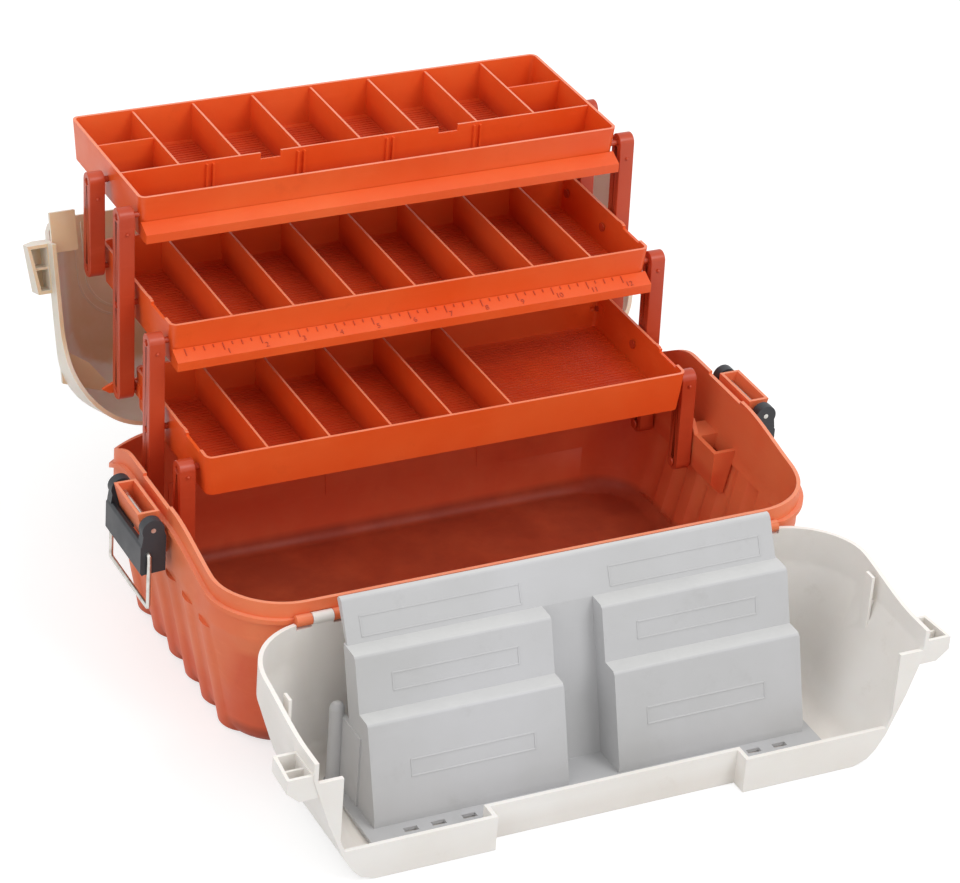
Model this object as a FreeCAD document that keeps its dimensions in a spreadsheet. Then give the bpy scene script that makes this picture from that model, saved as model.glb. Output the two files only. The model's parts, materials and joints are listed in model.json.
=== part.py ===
"""Fishing tackle cabinet: a lidded box whose three trays rise on parallel arms as the lids open.

Frame: millimetres, +Z up, X along the box, X = 0 is the mirror plane, Z = 0 is the ground under the base.
Each moving piece is drawn where it sits at rest, with the box open. The two lids are drawn closed and then
turned about their hinges by their Placement.
"""
import FreeCAD, Part
import math
import os

import Sketcher

Vector = FreeCAD.Vector
Rotation = FreeCAD.Rotation
Placement = FreeCAD.Placement
X_AXIS = Vector(1, 0, 0)
Y_AXIS = Vector(0, 1, 0)
Z_AXIS = Vector(0, 0, 1)
SIDES = {"left": -1, "right": 1}

DIMENSIONS = {
    # base box
    "wall": 2.5,
    "floor_thick": 3.0,
    "rim_half_x": 199.5,
    "rim_front_y": -128.5,
    "rim_rear_y": 109.0,
    "rim_corner": 45.0,
    "foot_half_x": 184.0,
    "foot_front_y": -114.0,
    "foot_rear_y": 97.0,
    "foot_corner": 36.0,
    "band_bottom_z": 86.0,
    "rim_front_z": 113.0,
    "rim_side_z": 124.0,
    "rim_rear_z": 100.0,
    "ledge_drop": 10.0,
    "ledge_thick": 3.0,
    "ledge_out": 3.0,
    "flute_radius": 17.0,
    "flute_pitch": 27.0,
    "flute_proud": 2.0,
    # lids
    "lid_fit": 0.5,
    "lid_wall": 2.8,
    "lid_top_z": 205.0,
    "part_y": -9.0,
    "part_gap": 0.3,
    "lid_band_z": 126.0,
    "recess_half": 83.0,
    "recess_deep": 11.0,
    "part_wall_deep": 24.0,
    "ear_in_x": 202.0,
    "ear_bottom_z": 122.8,
    "ear_top_z": 139.0,
    "ear_bevel": 8.0,
    "front_ear_y": -36.0,
    "front_ear_x": 217.0,
    "front_ear_end_y": -10.0,
    "front_ear_end_x": 219.0,
    "rear_ear_y": -8.0,
    "rear_ear_x": 216.5,
    "rear_ear_end_y": 24.0,
    "rear_ear_end_x": 212.0,
    "ear_wall": 2.2,
    # hinges
    "front_hinge_y": -131.0,
    "front_hinge_z": 102.5,
    "rear_hinge_y": 118.0,
    "rear_hinge_z": 92.0,
    "front_open": 180.0,
    "rear_open": 108.0,
    "knuckle_radius": 3.6,
    "hinge_pin_radius": 1.5,
    "hinge_run": 0.05,
    "knuckle_long": 10.0,
    "knuckle_mid": 14.0,
    "front_station": 146.0,
    "rear_station": 130.0,
    # trays
    "tray_half": 167.0,
    "tray_depth": 122.6,
    "tray_high": 27.6,
    "tray_wall": 2.0,
    "tray_draft": 2.0,
    "divider": 1.5,
    "bottom_tray_y": 1.0,
    "bottom_tray_z": 140.0,
    "middle_tray_y": 64.0,
    "middle_tray_z": 199.6,
    "top_tray_y": 121.0,
    "top_tray_z": 260.0,
    "inner_wall_y": 39.3,
    "lip_out": 9.0,
    "lip_start": 17.0,
    "lip_face": 6.0,
    # arms
    "arm_pitch": 60.0,
    "arm_lean": 3.0,
    "arm_wide": 10.4,
    "arm_deep": 12.0,
    "arm_in_x": 170.0,
    "arm_spacing": 52.0,
    "arm_base_y": 12.8,
    "arm_base_z": 67.0,
    "pin_radius": 2.0,
    "pin_run": 0.05,
    "pin_loose": 0.3,
    "pin_ear": 4.4,
    # brackets
    "bracket_in_x": 181.4,
    "bracket_front_y": -20.0,
    "bracket_rear_y": 76.0,
    "bracket_bottom_z": 57.0,
    "bracket_top_z": 88.0,
    # latches
    "latch_mid_y": 1.5,
    "latch_half_y": 29.5,
    "latch_pivot_x": 212.3,
    "latch_pivot_z": 115.0,
    "latch_boss": 7.3,
    "latch_in_x": 204.0,
    "latch_plate_x": 216.8,
    "latch_out_x": 220.4,
    "latch_bottom_z": 84.0,
    "latch_plate_top_z": 106.0,
    "cheek_bottom_z": 85.5,
    "cheek_thick": 6.5,
    "latch_pin_radius": 1.6,
    "pocket_in_x": 204.8,
    "pocket_out_x": 219.0,
    "pocket_low_x": 214.5,
    "pocket_front_y": -18.0,
    "pocket_rear_y": 22.0,
    "pocket_bottom_z": 104.0,
    "pocket_top_z": 122.0,
    "pocket_wall": 2.0,
    "bail_wire": 1.4,
    "bail_pivot_x": 215.5,
    "bail_pivot_z": 99.0,
    "bail_low_z": 62.0,
    "bail_bend": 1.9,
    # carry handle
    "handle_half": 70.0,
    "handle_pivot_y": 8.0,
    "handle_pivot_z": 212.0,
    "handle_reach": 34.0,
    "handle_thick": 9.0,
    "handle_rest": 18.0,
}

doc = FreeCAD.newDocument("TackleCabinet")
sheet = doc.addObject("Spreadsheet::Sheet", "Dimensions")
for row, (alias, value) in enumerate(DIMENSIONS.items(), start=1):
    sheet.set("A%d" % row, alias)
    sheet.set("B%d" % row, str(value))
    sheet.setAlias("B%d" % row, alias)
doc.recompute()

SUBPARTS = []


def dim(alias):
    """Value of one driving dimension."""
    return float(getattr(sheet, alias))


def bind(target, prop, expression):
    """Bind a property to an expression in which a driving dimension is written as $name."""
    target.setExpression(prop, expression.replace("$", "Dimensions."))


def register(piece, label, placement=None):
    """Name a finished sub-part and put it in its place."""
    piece.Label = label
    if placement is not None:
        piece.Placement = placement
    SUBPARTS.append(piece)
    return piece


def feature(label, shape, placement=None):
    """Sub-part whose shape is computed from the sheet's sizes."""
    piece = doc.addObject("Part::Feature", label)
    piece.Shape = shape
    return register(piece, label, placement)


def block(x0, x1, y0, y1, z0, z1):
    """Box between two corners."""
    low = Vector(min(x0, x1), min(y0, y1), min(z0, z1))
    return Part.makeBox(abs(x1 - x0), abs(y1 - y0), abs(z1 - z0), low)


def rod(radius, start, end):
    """Round rod between two points."""
    start, end = Vector(*start), Vector(*end)
    return Part.makeCylinder(radius, start.distanceToPoint(end), start, end - start)


def prism_x(points, x0, x1):
    """Prism along X over a closed outline of (y, z) points."""
    ring = [Vector(x0, y, z) for y, z in points]
    face = Part.Face(Part.makePolygon(ring + ring[:1]))
    return face.extrude(Vector(x1 - x0, 0, 0))


def prism_y(points, y0, y1):
    """Prism along Y over a closed outline of (x, z) points."""
    ring = [Vector(x, y0, z) for x, z in points]
    face = Part.Face(Part.makePolygon(ring + ring[:1]))
    return face.extrude(Vector(0, y1 - y0, 0))


def outline(half_x, front_y, rear_y, front_r, rear_r, z):
    """Rounded rectangle in a level plane, always with the same eight edges."""
    root = math.sqrt(0.5)
    corners = [
        (half_x - front_r, front_y + front_r, 1, -1, front_r),
        (half_x - rear_r, rear_y - rear_r, 1, 1, rear_r),
        (-half_x + rear_r, rear_y - rear_r, -1, 1, rear_r),
        (-half_x + front_r, front_y + front_r, -1, -1, front_r),
    ]
    arcs = []
    for index, (cx, cy, sx, sy, radius) in enumerate(corners):
        along_x = Vector(cx + sx * radius, cy, z)
        along_y = Vector(cx, cy + sy * radius, z)
        middle = Vector(cx + sx * radius * root, cy + sy * radius * root, z)
        first, last = (along_y, along_x) if index in (0, 2) else (along_x, along_y)
        arcs.append((first, middle, last))
    edges = []
    for index, (first, middle, last) in enumerate(arcs):
        edges.append(Part.Arc(first, middle, last).toShape())
        edges.append(Part.makeLine(last, arcs[(index + 1) % 4][0]))
    return Part.Wire(edges)


def loft(sections):
    """Solid through a stack of rounded rectangles."""
    return Part.makeLoft([outline(*section) for section in sections], True, True)


def ease(value):
    """Smooth step from 0 to 1."""
    value = min(1.0, max(0.0, value))
    return value * value * (3.0 - 2.0 * value)


def rim_height(y):
    """Height of the base's rim, which is lowest at the rear and highest along the sides."""
    front, side, rear = dim("rim_front_z"), dim("rim_side_z"), dim("rim_rear_z")
    if y < 0:
        return front + (side - front) * ease((y + 100.0) / 75.0)
    return side + (rear - side) * ease((y - 45.0) / 61.0)


def rim_band(low, high):
    """Slab right across the box between two offsets of the rim line."""
    rows = [-160.0 + 6.0 * step for step in range(52)]
    lower = [Vector(-260, y, rim_height(y) + low) for y in rows]
    upper = [Vector(-260, y, rim_height(y) + high) for y in rows]
    low_curve, high_curve = Part.BSplineCurve(), Part.BSplineCurve()
    low_curve.interpolate(lower)
    high_curve.interpolate(upper)
    edges = [low_curve.toShape(), Part.makeLine(lower[-1], upper[-1])]
    edges += [high_curve.toShape(), Part.makeLine(upper[0], lower[0])]
    face = Part.Face(Part.Wire(Part.__sortEdges__(edges)))
    return face.extrude(Vector(520, 0, 0))


def base_sections(inset, bottom):
    """Stack of outlines of the base: a rounded foot, tapering walls and an upright band at the rim."""
    foot_x, front, rear = dim("foot_half_x"), dim("foot_front_y"), dim("foot_rear_y")
    rim_x, rim_f, rim_r = dim("rim_half_x"), dim("rim_front_y"), dim("rim_rear_y")
    corner, foot_c, band = dim("rim_corner"), dim("foot_corner"), dim("band_bottom_z")
    levels = [(0.0, 7.0), (2.0, 3.0), (7.0, 0.0)]
    stack = []
    for level, tuck in levels:
        shrink = inset + tuck
        stack.append((foot_x - shrink, front + shrink, rear - shrink, foot_c - shrink, foot_c - shrink,
                      level + bottom))
    for level in (band, 140.0):
        stack.append((rim_x - inset, rim_f + inset, rim_r - inset, corner - inset, corner - inset, level))
    return stack


def knuckles(station_x, y, z, lid):
    """Hinge knuckles of one station: the outer pair belongs to the base, the middle one to the lid."""
    radius, long, mid = dim("knuckle_radius"), dim("knuckle_long"), dim("knuckle_mid")
    gap = 0.35
    if lid:
        spans = [(station_x - mid / 2 + gap, station_x + mid / 2 - gap)]
    else:
        spans = [(station_x - mid / 2 - long, station_x - mid / 2), (station_x + mid / 2, station_x + mid / 2 + long)]
    return [rod(radius, (x0, y, z), (x1, y, z)) for x0, x1 in spans], spans


def hinge_bores(stations, y, z):
    """Running bores through all the knuckles of a hinge."""
    radius = dim("hinge_pin_radius") + dim("hinge_run")
    reach = dim("knuckle_mid") / 2 + dim("knuckle_long") + 1.0
    return [rod(radius, (x - reach, y, z), (x + reach, y, z)) for x in stations]


FRONT_STATIONS = [-dim("front_station"), 0.0, dim("front_station")]
REAR_STATIONS = [-dim("rear_station"), 0.0, dim("rear_station")]


def fuse_all(first, others):
    """Fuse a list of solids onto a first one."""
    return first.multiFuse(others) if others else first


def base_flutes(inset=0.0):
    """Upright waves on the lower part of both end walls. An inset gives the same waves on the inner face."""
    radius, proud, pitch = dim("flute_radius"), dim("flute_proud"), dim("flute_pitch")
    taper_x = (dim("rim_half_x") - dim("foot_half_x")) / (dim("band_bottom_z") - 7.0)
    waves = []
    for side in SIDES.values():
        for index in range(6):
            y = -76.0 + pitch * index
            low = (side * (dim("foot_half_x") + proud - radius - 1.0), y, 2.0)
            high_z = 80.0
            high_x = dim("foot_half_x") + taper_x * (high_z - 7.0) + proud - radius
            waves.append(rod(radius - inset, low, (side * high_x, y, high_z)))
    return waves


def latch_pocket(side):
    """Open-topped pocket on the base's end wall that holds one latch's pin. Its outer wall leans in downwards."""
    inner, outer, low_outer = dim("pocket_in_x"), dim("pocket_out_x"), dim("pocket_low_x")
    front, rear = dim("pocket_front_y"), dim("pocket_rear_y")
    low, high, wall = dim("pocket_bottom_z"), dim("pocket_top_z"), dim("pocket_wall")
    shell = prism_y([(side * inner, low), (side * low_outer, low), (side * outer, high), (side * inner, high)],
                    front, rear)
    ledge_top = dim("rim_side_z") - dim("ledge_drop")
    root = block(side * 198.5, side * (inner + 1.0), front, rear, low, ledge_top)
    under = prism_y([(side * 197.5, low), (side * low_outer, low), (side * 197.5, low - 14.0)], front, rear)
    slope = (outer - low_outer) / (high - low)
    hollow = prism_y([(side * (inner + wall), low + wall), (side * (low_outer - wall + slope * wall), low + wall),
                      (side * (outer - wall + slope * 5.0), high + 5.0), (side * (inner + wall), high + 5.0)],
                     front + wall, rear - wall)
    return fuse_all(shell, [root, under]), hollow


def make_base():
    """Base box: outer form with flutes, ledge, pockets and knuckles, then hollowed and cut to its rim."""
    outer = loft(base_sections(0.0, 0.0))
    grow = dim("ledge_out")
    lip = outline(dim("rim_half_x") + grow, dim("rim_front_y") - grow, dim("rim_rear_y") + grow,
                  dim("rim_corner") + grow, dim("rim_corner") + grow, 60.0)
    lip = Part.Face(lip).extrude(Vector(0, 0, 90))
    lip = lip.common(rim_band(-dim("ledge_drop") - dim("ledge_thick"), -dim("ledge_drop")))
    lip = lip.common(block(-240, 240, dim("rim_front_y") - 0.5, 140, 0, 200))
    flutes = [wave.common(block(-240, 240, -140, 140, 1.0, 84.0)) for wave in base_flutes()]
    body = fuse_all(outer, [lip] + flutes)
    hy, hz = dim("front_hinge_y"), dim("front_hinge_z")
    ry, rz = dim("rear_hinge_y"), dim("rear_hinge_z")
    extra, hollows = [], []
    for station in FRONT_STATIONS:
        solids, spans = knuckles(station, hy, hz, False)
        extra += solids
    for station in REAR_STATIONS:
        solids, spans = knuckles(station, ry, rz, False)
        extra += solids
        for x0, x1 in spans:
            extra.append(block(x0, x1, 106.0, ry, 86.5, 90.0))
    for side in SIDES.values():
        solid, hollow = latch_pocket(side)
        extra.append(solid)
        hollows.append(hollow)
    body = fuse_all(body, extra)
    reliefs = []
    mid = dim("knuckle_mid") / 2
    for station in FRONT_STATIONS:
        reliefs.append(rod(dim("knuckle_radius") + 0.4, (station - mid, hy, hz), (station + mid, hy, hz)))
    for station in REAR_STATIONS:
        reliefs.append(rod(dim("knuckle_radius") + 0.4, (station - mid, ry, rz), (station + mid, ry, rz)))
    inner = loft(base_sections(dim("wall"), dim("floor_thick")))
    above = block(-201.5, 201.5, -140, 125, 70, 200)
    body = body.cut(inner)
    for wave in base_flutes(dim("wall")):
        body = body.cut(wave.common(block(-240, 240, -140, 140, 9.0, 84.0)))
    body = body.cut(rim_band(0.0, 80.0).common(above))
    for side in SIDES.values():
        front, rear = dim("pocket_front_y") - 1.0, dim("pocket_rear_y") + 1.0
        body = body.cut(block(side * 190, side * 201.0, front, rear, dim("pocket_top_z"), 130.0))
    for cutter in reliefs + hinge_bores(FRONT_STATIONS, hy, hz) + hinge_bores(REAR_STATIONS, ry, rz) + hollows:
        body = body.cut(cutter)
    pin_x, pin_z = dim("latch_pivot_x"), dim("latch_pivot_z")
    body = body.cut(rod(dim("latch_pin_radius") + 0.05, (pin_x, -40, pin_z), (pin_x, 40, pin_z)))
    body = body.cut(rod(dim("latch_pin_radius") + 0.05, (-pin_x, -40, pin_z), (-pin_x, 40, pin_z)))
    plates = []
    for cx in (-110.0, 0.0, 110.0):
        plates.append(block(cx - 40, cx + 40, 96.0, 110.0, 34.0, 62.0))
    for plate in plates:
        panel = plate.common(loft(base_sections(dim("wall") - 0.5, dim("floor_thick"))))
        panel = panel.cut(loft(base_sections(dim("wall") + 0.6, dim("floor_thick"))))
        body = body.fuse(panel)
    return body.removeSplitter()


feature("base_box", make_base())


def lid_sections(inset):
    """Stack of outlines of the closed lids: upright band, tapering walls and a rounded top."""
    fit = dim("lid_fit") + dim("lid_wall")
    rim_x, front, rear = dim("rim_half_x") + fit, dim("rim_front_y") - fit, dim("rim_rear_y") + fit
    corner, top = dim("rim_corner") + fit, dim("lid_top_z")
    levels = [
        (80.0, 0.0, 0.0, 0.0),
        (dim("lid_band_z"), 0.0, 0.0, 0.0),
        (160.0, 11.0, 3.4, 4.0),
        (186.0, 21.5, 5.4, 7.0),
        (196.0, 27.5, 9.5, 11.0),
        (201.5, 33.0, 14.5, 16.0),
        (top, 42.0, 23.0, 25.0),
    ]
    stack = []
    for level, tuck_x, tuck_f, tuck_r in levels:
        if inset and level == top:
            level = top - inset
        round_f = max(12.0, corner - inset - tuck_x * 0.55)
        stack.append((rim_x - inset - tuck_x, front + inset + tuck_f, rear - inset - tuck_r, round_f, round_f,
                      level))
    if inset:
        stack[-2] = stack[-2][:5] + (201.5 - inset * 0.8,)
        stack[-3] = stack[-3][:5] + (196.0 - inset * 0.5,)
    return stack


def prism_z(points, z0, z1):
    """Prism along Z over a closed outline of (x, y) points."""
    ring = [Vector(x, y, z0) for x, y in points]
    face = Part.Face(Part.makePolygon(ring + ring[:1]))
    return face.extrude(Vector(0, 0, z1 - z0))


def ear(side, name):
    """Latch ear on a lid's end wall: a cap with a bevelled top and a dividing web, open underneath."""
    inner, wall, bevel = dim("ear_in_x"), dim("ear_wall"), dim("ear_bevel")
    low, high = dim("ear_bottom_z"), dim("ear_top_z")
    front, rear = dim(name + "_ear_y"), dim(name + "_ear_end_y")
    out_front, out_rear = dim(name + "_ear_x"), dim(name + "_ear_end_x")
    reach = max(out_front, out_rear)

    def form(inset, start, bottom):
        """Ear body, moved in by the wall on every outer face."""
        plan = prism_z([(side * start, front + inset), (side * (out_front - inset), front + inset),
                        (side * (out_rear - inset), rear - inset), (side * start, rear - inset)], bottom, high - inset)
        side_view = prism_y([(side * (start - 1), bottom - 1), (side * (reach + 1 - inset), bottom - 1),
                             (side * (reach + 1 - inset), high - bevel), (side * (reach - bevel - inset), high - inset),
                             (side * (start - 1), high - inset)], front - 1, rear + 1)
        return plan.common(side_view)

    cap = form(0.0, inner - 9.0, low)
    hollow = form(wall, inner + 1.6, low - 1.0)
    middle = (front + rear) / 2
    web = form(0.5, inner + 1.0, low + 3.0).common(block(-240, 240, middle - 0.8, middle + 0.8, 0, 300))
    return cap, hollow, web


def make_lid(front_half):
    """One lid, drawn closed. The two lids meet at the parting plane."""
    wall = dim("lid_wall")
    outer, inner = loft(lid_sections(0.0)), loft(lid_sections(wall))
    part, gap = dim("part_y"), dim("part_gap")
    keep = block(-260, 260, -170, part - gap, 50, 260) if front_half else block(-260, 260, part + gap, 160, 50, 260)
    solid = outer.common(keep)
    extra, hollows = [], []
    for side in SIDES.values():
        cap, hollow, web = ear(side, "front" if front_half else "rear")
        extra.append(cap)
        hollows.append((hollow, web))
    solid = fuse_all(solid, extra)
    solid = solid.cut(inner)
    for hollow, web in hollows:
        solid = solid.cut(hollow)
        solid = solid.fuse(web.cut(inner))
    slot = rim_band(-60.0, -dim("ledge_drop") + 0.5)
    solid = solid.cut(slot)
    if front_half:
        deep, half = dim("recess_deep"), dim("recess_half")
        low = dim("lid_top_z") - dim("part_wall_deep")
        edge = part - gap
        room = loft(lid_sections(0.3))
        wall_ends = [block(side * half, side * 190, edge - wall, edge, low, 206) for side in SIDES.values()]
        wall_mid = block(-half - wall, half + wall, edge - deep - wall, edge - deep, low, 206)
        returns = [block(side * half, side * (half + wall), edge - deep - wall, edge, low, 206)
                   for side in SIDES.values()]
        solid = solid.cut(block(-half, half, edge - deep, edge + 5, 150, 260))
        for piece in wall_ends + [wall_mid] + returns:
            solid = solid.fuse(piece.common(room))
        for side in SIDES.values():
            strip = block(side * 184.0, side * 202, edge - wall, edge, 128.6, 206).common(room)
            fin = block(side * 193.6, side * 195.6, -72.0, -64.0, 108.0, 150.0)
            web = block(side * 194.0, side * 203, -69.0, -67.2, 127.0, 150.0).common(room)
            solid = fuse_all(solid, [strip, fin, web])
    else:
        for side in SIDES.values():
            tab = block(side * 182.0, side * 199.2, -27.0, -5.0, 124.8, 127.6)
            tie = block(side * 182.0, side * 201.4, part + gap, -1.0, 124.8, 127.6)
            gusset = prism_z([(side * 201.4, 60.0), (side * 182.4, 73.0), (side * 164.0, 97.0),
                              (side * 201.4, 84.0)], 124.8, 127.0)
            solid = fuse_all(solid, [tab, tie, gusset])
    hy = dim("front_hinge_y") if front_half else dim("rear_hinge_y")
    hz = dim("front_hinge_z") if front_half else dim("rear_hinge_z")
    stations = FRONT_STATIONS if front_half else REAR_STATIONS
    mid, long, radius = dim("knuckle_mid") / 2, dim("knuckle_long"), dim("knuckle_radius")
    for station in stations:
        solids, spans = knuckles(station, hy, hz, True)
        notches = []
        for side in (-1, 1):
            near, far = station + side * mid, station + side * (mid + long)
            if front_half:
                notches.append(block(near, far + side * 0.5, -136.5, -124.0, 95.0, hz + radius + 1.2))
        for notch in notches:
            solid = solid.cut(notch)
        x0, x1 = spans[0]
        solid = fuse_all(solid, solids)
        if not front_half:
            solid = solid.fuse(block(x0, x1, 110.4, hy, hz + 0.2, hz + radius))
        solid = solid.cut(hinge_bores([station], hy, hz)[0])
    return solid.removeSplitter()


def turned(angle, y, z):
    """Placement that turns a piece about an X axis through (y, z)."""
    return Placement(Vector(0, 0, 0), Rotation(X_AXIS, angle), Vector(0, y, z))


front_turn = turned(dim("front_open"), dim("front_hinge_y"), dim("front_hinge_z"))
rear_turn = turned(-dim("rear_open"), dim("rear_hinge_y"), dim("rear_hinge_z"))
feature("front_lid", make_lid(True), front_turn)
feature("rear_lid", make_lid(False), rear_turn)


def make_liner():
    """Liner of the front lid, drawn open: a back panel and two stepped blocks, hollow behind."""
    skin = 2.4
    middle = 17.0
    panel = prism_x([(-146.0, 124.0), (-147.5, 126.0), (-150.0, 126.0), (-152.0, 124.5), (-164.0, 101.0),
                     (-192.0, 6.0), (-189.4, 6.0), (-161.4, 101.0)], -144.0, 144.0)
    steps = [(-160.0, 101.5), (-174.5, 101.5), (-177.0, 99.6), (-187.0, 68.0), (-197.2, 68.0), (-199.6, 66.0),
             (-216.0, 11.0), (-216.0, 4.0), (-189.0, 4.0)]
    inner = [(-164.5, 98.8), (-173.7, 98.8), (-184.9, 65.2), (-196.6, 65.2), (-213.4, 11.0), (-213.4, 0.0),
             (-186.0, 0.0)]
    solid = panel
    hollows = []
    for side in SIDES.values():
        block_outer = prism_x(steps, side * middle, side * 145.0)
        hollows.append(prism_x(inner, side * (middle + skin), side * (145.0 - skin)))
        solid = solid.fuse(block_outer)
    for hollow in hollows:
        solid = solid.cut(hollow)
    flange = block(-152.0, 152.0, -228.0, -188.0, 3.6, 6.0)
    for side in SIDES.values():
        flange = flange.cut(block(side * (middle + skin), side * (145.0 - skin), -213.4, -186.0, 0, 20))
        foot = block(side * 143.0, side * 152.0, -190.0, -158.0, 3.6, 6.0)
        pad = rod(4.6, (side * 148.0, -163.0, 5.0), (side * 148.0, -163.0, 58.0))
        crown = Part.makeSphere(4.6, Vector(side * 148.0, -163.0, 58.0))
        rib = block(side * 143.0, side * 146.0, -192.0, -161.0, 3.6, 54.0)
        solid = fuse_all(solid, [pad, crown, foot, rib])
    solid = solid.fuse(flange)
    for side in SIDES.values():
        for offset in (82.0, 102.0, 120.0):
            solid = solid.cut(block(side * offset, side * (offset + 9.0), -225.5, -221.5, 0, 20))
    return solid.removeSplitter()


feature("front_lid_liner", make_liner())


def tray_shell(label, divisions):
    """Tray with drafted walls. The frame of the drawing is the top front edge, at the mirror plane."""
    half, depth, high = dim("tray_half"), dim("tray_depth"), dim("tray_high")
    wall, draft, floor = dim("tray_wall"), dim("tray_draft"), 1.8
    corner = 5.0
    outer = loft([(half - draft, draft, depth - draft, corner, corner, -high),
                  (half, 0.0, depth, corner, corner, 0.0)])
    inset = draft * floor / high
    inner = loft([(half - draft - wall + inset, draft + wall - inset, depth - draft - wall + inset, corner - wall,
                   corner - wall, -high + floor),
                  (half - wall, wall, depth - wall, corner - wall, corner - wall, 0.0),
                  (half - wall, wall, depth - wall, corner - wall, corner - wall, 5.0)])
    room = loft([(half - draft - 0.5, draft + 0.5, depth - draft - 0.5, corner, corner, -high + 0.5),
                 (half - 0.6, 0.6, depth - 0.6, corner, corner, -0.4)])
    solid = outer.cut(inner)
    pieces = divisions(half, depth, high)
    pieces = [piece.common(room) for piece in pieces]
    return fuse_all(solid, pieces)


def lip(shell):
    """Add the sloping front lip, with closed ends, to a tray."""
    out, start, face, high, half = dim("lip_out"), dim("lip_start"), dim("lip_face"), dim("tray_high"), 165.5
    low = -high
    skin = [(0.6, -start), (-out, low + face), (-out, low), (-out + 1.8, low), (-out + 1.8, low + face - 1.2),
            (1.6, -start - 2.4)]
    solid = [(1.2, -start), (-out, low + face), (-out, low), (2.6, low)]
    pieces = [prism_x(skin, -half, half)]
    pieces += [prism_x(solid, side * half, side * (half - 2.0)) for side in SIDES.values()]
    return fuse_all(shell, pieces)


def column_walls(lines, depth, high, start=0.0):
    """Full-height walls across a tray at the given column lines."""
    half_thick, pitch = dim("divider") / 2, 2 * dim("tray_half") / 8
    walls = []
    for line in lines:
        x = -dim("tray_half") + pitch * line
        walls.append(block(x - half_thick, x + half_thick, start, depth, -high, -1.0))
    return walls


def top_divisions(half, depth, high):
    """Long front row with slots for loose dividers, and eight rear columns."""
    inner, thick, pitch = dim("inner_wall_y"), dim("divider"), 2 * half / 8
    wall = block(-half, half, inner - thick / 2, inner + thick / 2, -high, -1.0)
    for line in (2.5, 5.5):
        x = -half + pitch * line
        wall = wall.cut(block(x - 7.0, x + 7.0, inner - 3, inner + 3, -5.5, 2.0))
    pieces = [wall] + column_walls(range(1, 8), depth, high, inner)
    middle = (inner + depth) / 2
    for side in SIDES.values():
        pieces.append(block(side * half, side * (half - pitch), middle - thick / 2, middle + thick / 2, -high, -1.5))
    for line in (1.5, 3.0, 4.5, 6.0):
        x = -half + pitch * line
        for shift in (-2.2, 2.2):
            pieces.append(block(x + shift - 0.7, x + shift + 0.7, 1.0, 4.0, -high, -3.0))
            pieces.append(block(x + shift - 0.7, x + shift + 0.7, inner - 2.6, inner, -high, -3.0))
    return pieces


def middle_divisions(half, depth, high):
    """Eight full-depth columns."""
    return column_walls(range(1, 8), depth, high)


def bottom_divisions(half, depth, high):
    """Five full-depth columns and one wide compartment."""
    return column_walls(range(1, 6), depth, high)


def end_steps(shell, notch):
    """Small step and hump on the top edges of a tray's end walls."""
    half = dim("tray_half")
    for side in SIDES.values():
        shell = shell.cut(block(side * (half - 3.5), side * (half + 1), 12.0, 34.0, -notch, 2.0))
        shell = shell.fuse(block(side * half, side * (half - dim("tray_wall")), 36.0, 41.0, -3.0, 1.5 - notch / 2))
    return shell


def pin_ears(shell, offsets):
    """Round ears at the rear corners of a tray for pivots that lie on its rounded corners."""
    half, radius = dim("tray_half"), dim("pin_ear")
    for y, z in offsets:
        if y < dim("tray_depth") - 8.0:
            continue
        for side in SIDES.values():
            inner, outer = side * (half - 3.2), side * (half + 0.6)
            disc = rod(radius, (inner, y, z), (outer, y, z))
            root = block(inner, outer, y - 9.0, y, z - radius, z + radius)
            shell = fuse_all(shell, [disc, root])
    return shell


def drill_tray(shell, offsets):
    """Bore the end walls of a tray for its pivot pins. Offsets are from its top front edge."""
    radius = dim("pin_radius") + dim("pin_run")
    half = dim("tray_half")
    for y, z in offsets:
        for side in SIDES.values():
            shell = shell.cut(rod(radius, (side * (half - 8), y, z), (side * (half + 3), y, z)))
    return shell


LEAN = math.radians(dim("arm_lean"))
STEP_Y = dim("arm_pitch") * math.sin(LEAN)
STEP_Z = dim("arm_pitch") * math.cos(LEAN)
SPACING = dim("arm_spacing")
BASE_PIVOTS = {
    "d": (dim("arm_base_y"), dim("arm_base_z")),
    "c": (dim("arm_base_y") + SPACING, dim("arm_base_z")),
}
BOTTOM_PIVOTS = {
    "d": (BASE_PIVOTS["d"][0] + STEP_Y, dim("arm_base_z") + STEP_Z),
    "c": (BASE_PIVOTS["c"][0] + STEP_Y, dim("arm_base_z") + STEP_Z),
    "b": (BASE_PIVOTS["c"][0] + SPACING + STEP_Y, dim("arm_base_z") + STEP_Z),
}
MIDDLE_PIVOTS = {
    "c": (BOTTOM_PIVOTS["c"][0] + STEP_Y, BOTTOM_PIVOTS["c"][1] + STEP_Z),
    "b": (BOTTOM_PIVOTS["b"][0] + STEP_Y, BOTTOM_PIVOTS["b"][1] + STEP_Z),
    "a": (BOTTOM_PIVOTS["b"][0] + SPACING + STEP_Y, BOTTOM_PIVOTS["b"][1] + STEP_Z),
}
TOP_PIVOTS = {
    "b": (MIDDLE_PIVOTS["b"][0] + STEP_Y, MIDDLE_PIVOTS["b"][1] + STEP_Z),
    "a": (MIDDLE_PIVOTS["a"][0] + STEP_Y, MIDDLE_PIVOTS["a"][1] + STEP_Z),
}


def tray_at(name):
    """Rest position of a tray's top front edge."""
    return Vector(0, dim(name + "_y"), dim(name + "_z"))


def relative(pivots, corner):
    """Pivot positions measured from a tray's top front edge."""
    return [(y - corner.y, z - corner.z) for y, z in pivots.values()]


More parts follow.
